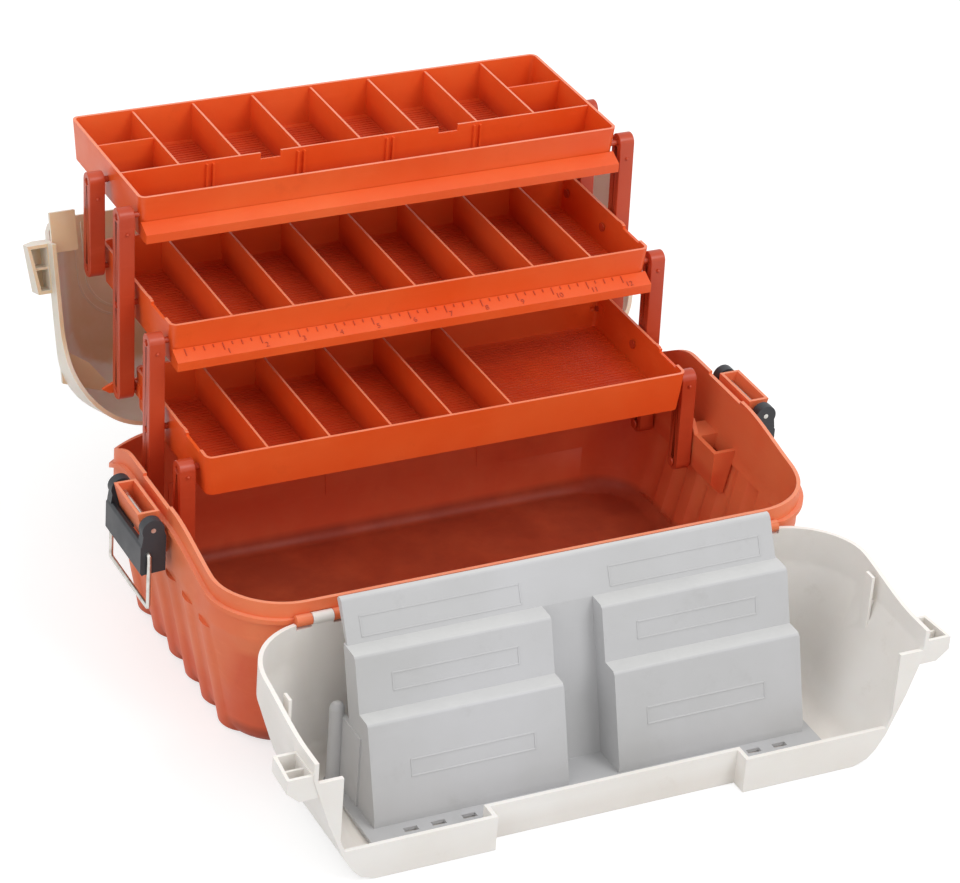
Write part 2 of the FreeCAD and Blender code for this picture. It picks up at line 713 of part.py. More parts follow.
def stop_fins(shell):
    """Pointed fins that stick out behind the rear corners of the bottom tray."""
    for side in SIDES.values():
        points = [(side * 152.0, -11.0), (side * 180.0, -11.5), (side * 187.0, -15.0), (side * 182.0, -18.5),
                  (side * 152.0, -17.5)]
        root = block(side * 152.0, side * 162.0, 121.8, 126.5, -17.5, -11.0)
        shell = fuse_all(shell, [prism_y(points, 125.4, 127.4), root])
    return shell


def make_tray(name, divisions, pivots, with_lip, notch):
    """One tray with its lip, end steps and pin bores."""
    corner = tray_at(name)
    shell = tray_shell(name, divisions)
    if with_lip:
        shell = lip(shell)
    if notch:
        shell = end_steps(shell, notch)
    shell = pin_ears(shell, relative(pivots, corner))
    if name == "bottom_tray":
        shell = stop_fins(shell)
    shell = drill_tray(shell, relative(pivots, corner))
    return feature(name, shell.removeSplitter(), Placement(corner, Rotation()))


make_tray("bottom_tray", bottom_divisions, BOTTOM_PIVOTS, False, 2.0)
make_tray("middle_tray", middle_divisions, MIDDLE_PIVOTS, True, 2.0)
make_tray("top_tray", top_divisions, TOP_PIVOTS, True, 0.0)


def pin_group(label, pivots, inner_x, outer_x, head_x, head_thick, plain=()):
    """Pivot pins of one level, on both sides, each with a small flat head on its inner end.

    plain names the arms whose pins have no head, because the tray's rounded corner leaves no room for one.
    """
    members = []
    for name, side in SIDES.items():
        for arm, (y, z) in pivots.items():
            shank = doc.addObject("Part::Cylinder", "Shank_%s_%s_%s" % (label, arm, name))
            bind(shank, "Radius", "$pin_radius")
            shank.Height = outer_x - inner_x
            shank.Placement = Placement(Vector(side * inner_x, y, z), Rotation(Z_AXIS, Vector(side, 0, 0)))
            if arm in plain:
                members.append(shank)
                continue
            head = doc.addObject("Part::Cylinder", "Head_%s_%s_%s" % (label, arm, name))
            bind(head, "Radius", "$pin_radius * 1.5")
            head.Height = head_thick
            head.Placement = Placement(Vector(side * head_x, y, z), Rotation(Z_AXIS, Vector(side, 0, 0)))
            pin = doc.addObject("Part::Fuse", "Pin_%s_%s_%s" % (label, arm, name))
            pin.Base, pin.Tool = shank, head
            members.append(pin)
    group = doc.addObject("Part::Compound", label)
    group.Links = members
    return register(group, label)


ARM_OUT_X = dim("arm_in_x") + dim("arm_wide")
pin_group("bottom_tray_pivot_pins", BOTTOM_PIVOTS, 163.0, ARM_OUT_X - 1.0, 162.6, 1.0, plain=("b",))
pin_group("middle_tray_pivot_pins", MIDDLE_PIVOTS, 163.0, ARM_OUT_X - 1.0, 162.6, 1.0)
pin_group("top_tray_pivot_pins", TOP_PIVOTS, 163.0, ARM_OUT_X - 1.0, 162.6, 1.0, plain=("b",))
pin_group("base_pivot_pins", BASE_PIVOTS, 168.4, dim("bracket_in_x") + 2.2, 168.0, 1.2)


def plane_of(body, role):
    """Origin plane of a body, found by its role."""
    return [item for item in body.Origin.OriginFeatures if item.Role == role][0]


def sketch_on(body, role, name, offset=0.0):
    """Sketch attached to one of its body's origin planes, moved along that plane's normal."""
    sketch = body.newObject("Sketcher::SketchObject", name)
    sketch.AttachmentSupport = (plane_of(body, role), [""])
    sketch.MapMode = "FlatFace"
    sketch.AttachmentOffset = Placement(Vector(0, 0, offset), Rotation())
    return sketch


def draw_slot(sketch, bottom, top, radius, expression):
    """Closed slot outline along the sketch's vertical axis, with round ends of a bound radius."""
    right, left = radius, -radius
    sketch.addGeometry(Part.LineSegment(Vector(right, bottom, 0), Vector(right, top, 0)))
    circle = Part.Circle(Vector(0, top, 0), Z_AXIS, radius)
    sketch.addGeometry(Part.ArcOfCircle(circle, 0.0, math.pi))
    sketch.addGeometry(Part.LineSegment(Vector(left, top, 0), Vector(left, bottom, 0)))
    circle = Part.Circle(Vector(0, bottom, 0), Z_AXIS, radius)
    sketch.addGeometry(Part.ArcOfCircle(circle, math.pi, 2 * math.pi))
    sketch.addConstraint(Sketcher.Constraint("Tangent", 0, 2, 1, 1))
    sketch.addConstraint(Sketcher.Constraint("Tangent", 1, 2, 2, 1))
    sketch.addConstraint(Sketcher.Constraint("Tangent", 2, 2, 3, 1))
    sketch.addConstraint(Sketcher.Constraint("Tangent", 3, 2, 0, 1))
    sketch.addConstraint(Sketcher.Constraint("Vertical", 0))
    sketch.addConstraint(Sketcher.Constraint("PointOnObject", 3, 3, -2))
    sketch.addConstraint(Sketcher.Constraint("DistanceY", -1, 1, 3, 3, bottom))
    sketch.addConstraint(Sketcher.Constraint("DistanceY", -1, 1, 1, 3, top))
    index = sketch.addConstraint(Sketcher.Constraint("Radius", 1, radius))
    sketch.setExpression("Constraints[%d]" % index, expression.replace("$", "Dimensions."))


def draw_circle(sketch, y, radius, expression):
    """Circle on the sketch's vertical axis with a bound radius."""
    number = sketch.addGeometry(Part.Circle(Vector(0, y, 0), Z_AXIS, radius))
    sketch.addConstraint(Sketcher.Constraint("PointOnObject", number, 3, -2))
    if abs(y) < 1e-6:
        sketch.addConstraint(Sketcher.Constraint("PointOnObject", number, 3, -1))
    else:
        sketch.addConstraint(Sketcher.Constraint("DistanceY", -1, 1, number, 3, y))
    index = sketch.addConstraint(Sketcher.Constraint("Radius", number, radius))
    sketch.setExpression("Constraints[%d]" % index, expression.replace("$", "Dimensions."))


def make_arm(arm, side_name, foot, pivots, loose):
    """One arm: a round-ended bar, bored for its pins.

    foot is the (y, z) of the lowest pivot, pivots the distances of the pivots along the arm, and loose the
    pivots that have clearance because they close the linkage.
    """
    side = SIDES[side_name]
    label = "tray_arm_%s_%s" % (arm, side_name)
    body = doc.addObject("PartDesign::Body", "Arm_%s_%s" % (arm, side_name))
    radius, length = dim("arm_deep") / 2, pivots[-1]
    outline_sketch = sketch_on(body, "YZ_Plane", "BarOutline")
    draw_slot(outline_sketch, 0.0, length, radius, "$arm_deep / 2")
    bar = body.newObject("PartDesign::Pad", "Bar")
    bar.Profile = outline_sketch
    bind(bar, "Length", "$arm_wide")
    doc.recompute()
    for index, pivot in enumerate(pivots):
        bore = sketch_on(body, "YZ_Plane", "BoreOutline%d" % index)
        slack = "$pin_loose" if index in loose else "$pin_run"
        run = dim("pin_loose") if index in loose else dim("pin_run")
        draw_circle(bore, pivot, dim("pin_radius") + run, "$pin_radius + " + slack)
        hole = body.newObject("PartDesign::Pocket", "Bore%d" % index)
        hole.Profile = bore
        hole.Type = "ThroughAll"
        hole.Midplane = True
    doc.recompute()
    start_x = dim("arm_in_x") if side > 0 else -dim("arm_in_x") - dim("arm_wide")
    place = Placement(Vector(start_x, foot[0], foot[1]), Rotation(X_AXIS, -dim("arm_lean")))
    return register(body, label, place)


PITCH = dim("arm_pitch")
for side_name in SIDES:
    make_arm("a", side_name, MIDDLE_PIVOTS["a"], [0.0, PITCH], [1])
    make_arm("b", side_name, BOTTOM_PIVOTS["b"], [0.0, PITCH, 2 * PITCH], [1])
    make_arm("c", side_name, BASE_PIVOTS["c"], [0.0, PITCH, 2 * PITCH], [])
    make_arm("d", side_name, BASE_PIVOTS["d"], [0.0, PITCH], [1])


def make_bracket(side_name):
    """Arm bracket inside one end wall: an open cup with two cross ribs, a pointed tab and two bores."""
    side = SIDES[side_name]
    inner, front, rear = dim("bracket_in_x"), dim("bracket_front_y"), dim("bracket_rear_y")
    low, high, skin = dim("bracket_bottom_z"), dim("bracket_top_z"), 3.0
    room = loft(base_sections(dim("wall"), dim("floor_thick")))

    def cup(shift, y0, y1, top):
        """Body of the cup: upright inside face, and an underside that rises towards the box's middle."""
        return prism_y([(side * (inner + shift), top), (side * (inner + shift), low + 7.0 + shift),
                        (side * (inner + 7.0 + shift), low + shift), (side * 200.5, low + shift),
                        (side * 200.5, top)], y0, y1)

    solid = cup(0.0, front, rear, high)
    for y0, y1 in ((front + skin, 4.0), (21.5, 56.0), (rear - 7.0, rear - skin)):
        solid = solid.cut(cup(skin, y0, y1, high + 1.0))
    tab = prism_x([(6.0, high - 1.0), (18.0, high - 1.0), (14.0, high + 8.0)], side * inner, side * (inner + skin))
    solid = solid.fuse(tab).common(room)
    radius = dim("pin_radius") + dim("pin_run")
    for y, z in BASE_PIVOTS.values():
        solid = solid.cut(rod(radius, (side * (inner - 1), y, z), (side * (inner + 4), y, z)))
    return feature("arm_bracket_" + side_name, solid.removeSplitter())


for side_name in SIDES:
    make_bracket(side_name)


def hinge_pins(label, stations, y, z):
    """Steel pins of one hinge, one for each station, as Part cylinders."""
    members = []
    for index, station in enumerate(stations):
        pin = doc.addObject("Part::Cylinder", "%s_%d" % (label, index))
        bind(pin, "Radius", "$hinge_pin_radius")
        bind(pin, "Height", "$knuckle_mid + 2 * $knuckle_long")
        reach = dim("knuckle_mid") / 2 + dim("knuckle_long")
        pin.Placement = Placement(Vector(station - reach, y, z), Rotation(Z_AXIS, X_AXIS))
        members.append(pin)
    group = doc.addObject("Part::Compound", label)
    group.Links = members
    return register(group, label)


hinge_pins("front_hinge_pins", FRONT_STATIONS, dim("front_hinge_y"), dim("front_hinge_z"))
hinge_pins("rear_hinge_pins", REAR_STATIONS, dim("rear_hinge_y"), dim("rear_hinge_z"))


def make_latch(side_name):
    """Latch lever: a plate that hangs outside the pocket, and a cheek with a round boss at each end."""
    side = SIDES[side_name]
    middle, half = dim("latch_mid_y"), dim("latch_half_y")
    pivot_x, pivot_z, boss = dim("latch_pivot_x"), dim("latch_pivot_z"), dim("latch_boss")
    plate_x, out_x, in_x = dim("latch_plate_x"), dim("latch_out_x"), dim("latch_in_x")
    low, top, cheek_low = dim("latch_bottom_z"), dim("latch_plate_top_z"), dim("cheek_bottom_z")
    plate = prism_y([(side * plate_x, low + 2.0), (side * (out_x - 1.2), low), (side * out_x, low + 2.0),
                     (side * out_x, top - 2.0), (side * (out_x - 1.5), top), (side * plate_x, top)],
                    middle - half, middle + half)
    pieces = []
    for end in (-1, 1):
        y0 = middle + end * half
        y1 = middle + end * (half - dim("cheek_thick"))
        wedge = prism_y([(side * in_x, cheek_low), (side * (out_x - 0.8), low + 0.6), (side * (out_x - 0.8), top),
                         (side * (pivot_x + boss * 0.72), pivot_z + boss * 0.69),
                         (side * (pivot_x - boss * 0.72), pivot_z + boss * 0.5), (side * in_x, pivot_z - 5.0)], y0, y1)
        disc = rod(boss - 0.1, (side * pivot_x, y0, pivot_z), (side * pivot_x, y1, pivot_z))
        pieces += [wedge, disc]
    solid = fuse_all(plate, pieces)
    bore = dim("latch_pin_radius") + dim("pin_run")
    solid = solid.cut(rod(bore, (side * pivot_x, middle - half - 1, pivot_z), (side * pivot_x, middle + half + 1,
                                                                              pivot_z)))
    wire = dim("bail_wire") + dim("pin_run")
    bail_x, bail_z = side * dim("bail_pivot_x"), dim("bail_pivot_z")
    for end in (-1, 1):
        y0, y1 = middle + end * (half + 1), middle + end * (half - 5.0)
        solid = solid.cut(rod(wire, (bail_x, y0, bail_z), (bail_x, y1, bail_z)))
    return feature("latch_lever_" + side_name, solid.removeSplitter())


def make_latch_pin(side_name):
    """Pin on which one latch lever turns."""
    side = SIDES[side_name]
    pin = doc.addObject("Part::Cylinder", "LatchPin_" + side_name)
    bind(pin, "Radius", "$latch_pin_radius")
    bind(pin, "Height", "2 * $latch_half_y")
    place = Placement(Vector(side * dim("latch_pivot_x"), dim("latch_mid_y") - dim("latch_half_y"),
                             dim("latch_pivot_z")), Rotation(Z_AXIS, Y_AXIS))
    return register(pin, "latch_pin_" + side_name, place)


def wire_path(points, bend):
    """Open path of straight runs joined by tangent arcs."""
    points = [Vector(*point) for point in points]
    edges, start = [], points[0]
    for index in range(1, len(points) - 1):
        before = (points[index - 1] - points[index]).normalize()
        after = (points[index + 1] - points[index]).normalize()
        first, last = points[index] + before * bend, points[index] + after * bend
        bisector = (before + after).normalize()
        middle = points[index] + bisector * (bend * (math.sqrt(2.0) - 1.0))
        edges += [Part.makeLine(start, first), Part.Arc(first, middle, last).toShape()]
        start = last
    edges.append(Part.makeLine(start, points[-1]))
    return Part.Wire(edges)


def swept_rod(points, radius, bend):
    """Round bar swept along a path with right-angled bends."""
    path = wire_path(points, bend)
    start = Vector(*points[0])
    direction = (Vector(*points[1]) - start).normalize()
    circle = Part.Wire(Part.Circle(start, direction, radius).toShape())
    return path.makePipeShell([circle], True, False)


def make_bail(side_name):
    """Wire bail: both ends turn in the lever, and the cross bar hangs below it."""
    side = SIDES[side_name]
    middle, half = dim("latch_mid_y"), dim("latch_half_y")
    x, top, low = side * dim("bail_pivot_x"), dim("bail_pivot_z"), dim("bail_low_z")
    near, far = half - 4.0, half + dim("bail_wire") + 0.7
    points = [(x, middle - near, top), (x, middle - far, top), (x, middle - far, low), (x, middle + far, low),
              (x, middle + far, top), (x, middle + near, top)]
    return feature("latch_bail_" + side_name, swept_rod(points, dim("bail_wire"), dim("bail_bend")))


for side_name in SIDES:
    make_latch(side_name)
    make_latch_pin(side_name)
    make_bail(side_name)


def make_handle():
    """Carry handle on the rear lid, drawn folded back on the closed lid's top."""
    half, y, z, reach = dim("handle_half"), dim("handle_pivot_y"), dim("handle_pivot_z"), dim("handle_reach")
    thick = dim("handle_thick")
    legs = []
    for side in SIDES.values():
        leg = prism_x([(y - 4.0, z - 4.0), (y + reach, z - 4.0), (y + reach, z + 4.0), (y - 4.0, z + 4.0)],
                      side * (half - thick), side * half)
        legs.append(leg)
    bar = prism_x([(y + reach - 13.0, z - 4.5), (y + reach + 1, z - 4.5), (y + reach + 1, z + 4.5),
                   (y + reach - 13.0, z + 4.5)], -half, half)
    bar = bar.makeFillet(2.5, [edge for edge in bar.Edges if edge.Length > 100])
    solid = fuse_all(bar, legs)
    solid = solid.cut(rod(2.05, (-half - 1, y, z), (half + 1, y, z)))
    return solid


def make_handle_mounts():
    """Lugs that carry the handle on the rear lid, and their pins."""
    half, y, z = dim("handle_half"), dim("handle_pivot_y"), dim("handle_pivot_z")
    lugs, pins = [], []
    for side in SIDES.values():
        lug = prism_x([(y - 6.0, dim("lid_top_z")), (y + 6.0, dim("lid_top_z")), (y + 3.5, z + 4.0),
                       (y - 3.5, z + 4.0)], side * (half + 0.4), side * (half + 5.4))
        lug = lug.cut(rod(2.05, (side * half, y, z), (side * (half + 6), y, z)))
        lugs.append(lug)
        pins.append(rod(2.0, (side * (half - dim("handle_thick") + 1), y, z), (side * (half + 5.4), y, z)))
    return lugs, pins


lug_shapes, pin_shapes = make_handle_mounts()
handle_place = turned(dim("handle_rest"), dim("handle_pivot_y"), dim("handle_pivot_z"))
feature("carry_handle", make_handle(), rear_turn.multiply(handle_place))
feature("carry_handle_lugs", Part.makeCompound(lug_shapes), rear_turn)
feature("carry_handle_pins", Part.makeCompound(pin_shapes), rear_turn)

doc.recompute()
for item in doc.Objects:
    if "Invalid" in item.State or "Error" in item.State:
        raise ValueError("%s failed to compute: %s" % (item.Name, item.State))
for piece in SUBPARTS:
    shape = piece.Shape
    if shape.isNull() or not shape.isValid():
        raise ValueError("%s has no valid shape" % piece.Label)

os.makedirs("parts", exist_ok=True)
for piece in SUBPARTS:
    piece.Shape.exportStep(os.path.join("parts", piece.Label + ".step"))
    box = piece.Shape.BoundBox
    print("%-26s solids %2d  volume %9.0f  x %.1f..%.1f  y %.1f..%.1f  z %.1f..%.1f" % (
        piece.Label, len(piece.Shape.Solids), piece.Shape.Volume, box.XMin, box.XMax, box.YMin, box.YMax,
        box.ZMin, box.ZMax))
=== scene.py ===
"""Dresses the fishing tackle cabinet with moulded plastics, steel wire and the fine detail of each piece."""

import json
import logging
import math
from dataclasses import dataclass
from enum import Enum
from typing import Iterable, List, Optional, Sequence, Tuple, Union

import bmesh
import bpy
from mathutils import Matrix, Vector

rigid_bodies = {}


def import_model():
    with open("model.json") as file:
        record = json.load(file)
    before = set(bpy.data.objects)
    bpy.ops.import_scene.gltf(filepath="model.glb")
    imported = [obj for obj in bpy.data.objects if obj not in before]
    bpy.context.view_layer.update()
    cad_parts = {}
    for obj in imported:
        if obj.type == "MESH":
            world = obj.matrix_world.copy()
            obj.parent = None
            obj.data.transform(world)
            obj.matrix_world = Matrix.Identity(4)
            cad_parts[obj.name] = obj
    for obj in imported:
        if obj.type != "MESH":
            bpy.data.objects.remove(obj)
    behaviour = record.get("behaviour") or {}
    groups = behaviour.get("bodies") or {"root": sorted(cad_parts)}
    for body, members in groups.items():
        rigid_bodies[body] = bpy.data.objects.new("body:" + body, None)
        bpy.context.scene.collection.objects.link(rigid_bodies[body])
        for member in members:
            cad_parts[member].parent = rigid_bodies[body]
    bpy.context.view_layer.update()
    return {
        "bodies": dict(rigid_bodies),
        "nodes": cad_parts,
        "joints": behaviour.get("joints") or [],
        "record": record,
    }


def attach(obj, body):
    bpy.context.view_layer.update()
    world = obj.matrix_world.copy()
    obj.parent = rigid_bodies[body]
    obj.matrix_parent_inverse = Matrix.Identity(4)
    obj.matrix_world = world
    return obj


LOG = logging.getLogger("tackle_cabinet")
MM = 0.001
UP = (0.0, 0.0, 1.0)
WHITE = (1.0, 1.0, 1.0, 1.0)
# A box side at FAR millimetres is open.
FAR = 999.0
# Index of a Mix node's colour output.
COLOUR_OUT = 2
PLASTIC_IOR = 1.47
SCATTER_RADIUS = (1.0, 0.35, 0.15)
SCATTER_SCALE = 0.0025
# Lengths of the CAD in millimetres, with the box open. A tray's place is y of its front and z of its rim.
TRAY_LENGTH = 334.0
TRAY_HEIGHT = 27.6
TRAY_PLACES = {"bottom_tray": (1.0, 140.0), "middle_tray": (64.0, 199.6), "top_tray": (121.0, 260.0)}
# The rear lid's hinge is at y and z, and the lid is open by so many degrees.
REAR_HINGE = (118.0, 92.0)
REAR_LID_OPEN = 108.0
Colour = Tuple[float, float, float]
Point = Tuple[float, float, float]
Pair = Tuple[float, float]


class Crispness(Enum):
    """How far a moulded edge is rounded, in millimetres."""

    THIN_WALL = 0.35
    WALL = 0.7
    SOFT = 1.2


def linear(code: str) -> Colour:
    """Scene-linear colour of an sRGB hex code.

    Args:
        code: Six hex digits.

    Returns:
        Red, green and blue from 0 to 1.
    """
    values = [int(code[i:i + 2], 16) / 255.0 for i in (0, 2, 4)]
    return tuple(v / 12.92 if v <= 0.04045 else ((v + 0.055) / 1.055) ** 2.4 for v in values)


class NodeBench:
    """Small helper that adds and links shader nodes of one material."""

    def __init__(self, name: str) -> None:
        """Start an empty node material.

        Args:
            name: The material's name.
        """
        self.material = bpy.data.materials.new(name)
        self.material.use_nodes = True
        self.tree = self.material.node_tree
        self.tree.nodes.clear()
        self.output = self.add("ShaderNodeOutputMaterial")
        self.shader = self.add("ShaderNodeBsdfPrincipled")
        self.link(self.shader, "BSDF", self.output, "Surface")
        self.coordinates = self.add("ShaderNodeTexCoord")

    def add(self, kind: str, **values: object) -> bpy.types.Node:
        """Add a node and set its attributes.

        Args:
            kind: The node's type.
            **values: Attribute names and values.

        Returns:
            The new node.
        """
        node = self.tree.nodes.new(kind)
        for key, value in values.items():
            setattr(node, key, value)
        return node

    def link(self, source: bpy.types.Node, out: Union[str, int], target: bpy.types.Node,
             into: Union[str, int]) -> None:
        """Link one socket to another.

        Args:
            source: Node that the link starts from.
            out: Name or index of its output.
            target: Node that the link ends at.
            into: Name or index of its input.
        """
        self.tree.links.new(source.outputs[out], target.inputs[into])

    def noise(self, scale: float, detail: float, stretch: Sequence[float] = (1, 1, 1),
              roughness: float = 0.55) -> bpy.types.Node:
        """Noise on the piece's own coordinates.

        Args:
            scale: Noise cells per metre.
            detail: Octaves of detail.
            stretch: Scale of each axis.
            roughness: How strongly the finer octaves show.

        Returns:
            The noise node.
        """
        mapping = self.add("ShaderNodeMapping")
        mapping.inputs["Scale"].default_value = tuple(stretch)
        self.link(self.coordinates, "Object", mapping, "Vector")
        node = self.add("ShaderNodeTexNoise")
        node.inputs["Scale"].default_value = scale
        node.inputs["Detail"].default_value = detail
        node.inputs["Roughness"].default_value = roughness
        self.link(mapping, "Vector", node, "Vector")
        return node

    def spread(self, source: bpy.types.Node, out: Union[str, int], low: float, high: float,
               to_low: float = 0.0, to_high: float = 1.0) -> bpy.types.Node:
        """Map a value from one range to another, clamped.

        Args:
            source: Node that gives the value.
            out: Name or index of its output.
            low: Start of the source range.
            high: End of the source range.
            to_low: Start of the new range.
            to_high: End of the new range.

        Returns:
            The Map Range node.
        """
        node = self.add("ShaderNodeMapRange", clamp=True)
        node.inputs["From Min"].default_value = low
        node.inputs["From Max"].default_value = high
        node.inputs["To Min"].default_value = to_low
        node.inputs["To Max"].default_value = to_high
        self.link(source, out, node, "Value")
        return node

    def blend(self, factor: bpy.types.Node, out: Union[str, int], first: Union[Colour, bpy.types.Node],
              second: Colour) -> bpy.types.Node:
        """Mix two colours by a factor.

        Args:
            factor: Node that gives the factor.
            out: Name or index of its output.
            first: A colour, or a Mix node whose result is the first colour.
            second: The colour at factor 1.

        Returns:
            The Mix node.
        """
        node = self.add("ShaderNodeMix", data_type="RGBA")
        first_in, second_in = 6, 7
        self.link(factor, out, node, 0)
        if isinstance(first, bpy.types.Node):
            self.link(first, COLOUR_OUT, node, first_in)
        else:
            node.inputs[first_in].default_value = (*first, 1.0)
        node.inputs[second_in].default_value = (*second, 1.0)
        return node

    def product(self, first: bpy.types.Node, second: bpy.types.Node) -> bpy.types.Node:
        """Multiply the first outputs of two nodes.

        Args:
            first: The first node.
            second: The second node.

        Returns:
            The Math node.
        """
        node = self.add("ShaderNodeMath", operation="MULTIPLY")
        self.link(first, 0, node, 0)
        self.link(second, 0, node, 1)
        return node

    def inside(self, low: Point, high: Point, soft: float) -> Optional[bpy.types.Node]:
        """Mask that is 1 inside a box of the piece's own coordinates.

        Args:
            low: Lowest corner in millimetres.
            high: Highest corner in millimetres.
            soft: Width of the fade outside it, in millimetres.

        Returns:
            The node that gives the mask, or None if every side is open.
        """
        split = self.add("ShaderNodeSeparateXYZ")
        self.link(self.coordinates, "Object", split, 0)
        mask = None
        for axis, (near, far) in enumerate(zip(low, high)):
            for edge, outer in ((near, near - soft), (far, far + soft)):
                if abs(edge) >= FAR:
                    continue
                step = self.spread(split, axis, outer * MM, edge * MM)
                mask = step if mask is None else self.product(mask, step)
        return mask

    def facing(self, direction: Sequence[float]) -> bpy.types.Node:
        """Mask that is 1 where the piece's own normal points along a direction.

        Args:
            direction: Unit vector in the piece's own coordinates.

        Returns:
            The node that gives the mask.
        """
        edge_cosine, full_cosine = 0.8, 0.95
        dot = self.add("ShaderNodeVectorMath", operation="DOT_PRODUCT")
        self.link(self.coordinates, "Normal", dot, 0)
        dot.inputs[1].default_value = tuple(direction)
        return self.spread(dot, "Value", edge_cosine, full_cosine)

    def bump(self, source: bpy.types.Node, out: str, strength: float, distance: float,
             below: Optional[bpy.types.Node] = None) -> bpy.types.Node:
        """Bump from a height, on top of another bump if one is given.

        Args:
            source: Node that gives the height.
            out: Name of its output.
            strength: How strongly the bump shows, from 0 to 1.
            distance: Its height in metres.
            below: Bump node that lies beneath it.

        Returns:
            The Bump node.
        """
        node = self.add("ShaderNodeBump")
        node.inputs["Strength"].default_value = strength
        node.inputs["Distance"].default_value = distance
        self.link(source, out, node, "Height")
        if below is not None:
            self.link(below, "Normal", node, "Normal")
        return node


@dataclass(frozen=True)
class Tint:
    """Colour laid over part of a finish.

    Attributes:
        colour: The colour.
        strength: Its greatest share, from 0 to 1.
        low: Lowest corner of its box, in millimetres of the piece's own coordinates.
        high: Highest corner of its box.
        soft: Width of the fade outside the box, in millimetres.
        direction: Unit vector that the tinted faces look along. Every face is tinted if it is empty.
    """

    colour: Colour
    strength: float
    low: Point = (-FAR, -FAR, -FAR)
    high: Point = (FAR, FAR, FAR)
    soft: float = 0.4
    direction: Sequence[float] = ()

    def lay(self, bench: NodeBench, below: bpy.types.Node) -> bpy.types.Node:
        """Blend the tint over a colour.

        Args:
            bench: The material's nodes.
            below: Mix node that gives the colour so far.

        Returns:
            The Mix node with the tint.
        """
        mask = bench.inside(self.low, self.high, self.soft)
        if self.direction:
            facing = bench.facing(self.direction)
            mask = facing if mask is None else bench.product(mask, facing)
        thinnest = 0.6 * self.strength
        patches = bench.noise(scale=26.0, detail=6.0, roughness=0.65)
        patchy = bench.spread(patches, "Fac", 0.25, 0.6, to_low=thinnest, to_high=self.strength)
        return bench.blend(bench.product(mask, patchy), 0, below, self.colour)


@dataclass(frozen=True)
class MouldedPlastic:
    """Moulded plastic: cloudy colour, handling scuffs, grime and a fine skin grain.

    Attributes:
        name: The material's name.
        colour: The plastic's own colour.
        faded: Its colour where it has faded.
        grime: The colour of its dirt.
        roughness: Roughness of the clean surface.
        grain: Height of the skin grain in metres.
        scuff: Twice the greatest share of the scuffs.
        soiling: The greatest share of the dirt.
        translucence: Weight of the light scattered inside.
        tints: Colours laid over parts of it.
    """

    name: str
    colour: Colour
    faded: Colour
    grime: Colour
    roughness: float = 0.38
    grain: float = 0.00004
    scuff: float = 0.35
    soiling: float = 0.3
    translucence: float = 0.0
    tints: Tuple[Tint, ...] = ()

    def material(self) -> bpy.types.Material:
        """Build the node material.

        Returns:
            The new material.
        """
        bench = NodeBench(self.name)
        cloud = bench.noise(scale=9.0, detail=4.0)
        fading = bench.spread(cloud, "Fac", 0.35, 0.7)
        body = bench.blend(fading, "Result", self.colour, self.faded)
        lighter, lift = 1.25, 0.03
        worn = tuple(min(1.0, c * lighter + lift) for c in self.faded)
        streak = bench.noise(scale=60.0, detail=6.0, stretch=(0.35, 1.0, 2.6), roughness=0.7)
        streaks = bench.spread(streak, "Fac", 0.56, 0.78, to_high=self.scuff * 0.5)
        scuffed = bench.blend(streaks, "Result", body, worn)
        spots = bench.noise(scale=38.0, detail=9.0, roughness=0.72)
        soil = bench.spread(spots, "Fac", 0.58, 0.76, to_high=self.soiling)
        finished = bench.blend(soil, "Result", scuffed, self.grime)
        for tint in self.tints:
            finished = tint.lay(bench, finished)
        bench.link(finished, COLOUR_OUT, bench.shader, "Base Color")
        haze = bench.noise(scale=30.0, detail=5.0)
        smoothest, roughest = self.roughness - 0.06, self.roughness + 0.1
        gloss = bench.spread(haze, "Fac", 0.3, 0.7, to_low=smoothest, to_high=roughest)
        bench.link(gloss, "Result", bench.shader, "Roughness")
        skin = bench.noise(scale=1500.0, detail=2.0)
        waves = bench.noise(scale=22.0, detail=3.0)
        fine = bench.bump(skin, "Fac", strength=0.35, distance=self.grain)
        broad = bench.bump(waves, "Fac", strength=0.25, distance=0.0012, below=fine)
        bench.link(broad, "Normal", bench.shader, "Normal")
        bench.shader.inputs["IOR"].default_value = PLASTIC_IOR
        if self.translucence > 0.0:
            bench.shader.inputs["Subsurface Weight"].default_value = self.translucence
            bench.shader.inputs["Subsurface Radius"].default_value = SCATTER_RADIUS
            bench.shader.inputs["Subsurface Scale"].default_value = SCATTER_SCALE
        return bench.material


@dataclass(frozen=True)
class DrawnSteel:
    """Bright drawn steel with fine streaks and a little tarnish.

    Attributes:
        name: The material's name.
        colour: The bright steel's colour.
        tarnish: Its colour where it is dull.
        roughness: Roughness of its smoothest parts.
    """

    name: str
    colour: Colour
    tarnish: Colour
    roughness: float = 0.24

    def material(self) -> bpy.types.Material:
        """Build the node material.

        Returns:
            The new material.
        """
        bench = NodeBench(self.name)
        patches = bench.noise(scale=160.0, detail=5.0)
        dulling = bench.spread(patches, "Fac", 0.45, 0.7, to_high=0.8)
        tone = bench.blend(dulling, "Result", self.colour, self.tarnish)
        bench.link(tone, COLOUR_OUT, bench.shader, "Base Color")
        streak = bench.noise(scale=900.0, detail=3.0, stretch=(1.0, 1.0, 0.08))
        gloss = bench.spread(streak, "Fac", 0.3, 0.7, to_low=self.roughness, to_high=self.roughness + 0.18)
        bench.link(gloss, "Result", bench.shader, "Roughness")
        marks = bench.bump(streak, "Fac", strength=0.3, distance=0.00002)
        bench.link(marks, "Normal", bench.shader, "Normal")
        bench.shader.inputs["Metallic"].default_value = 1.0
        return bench.material


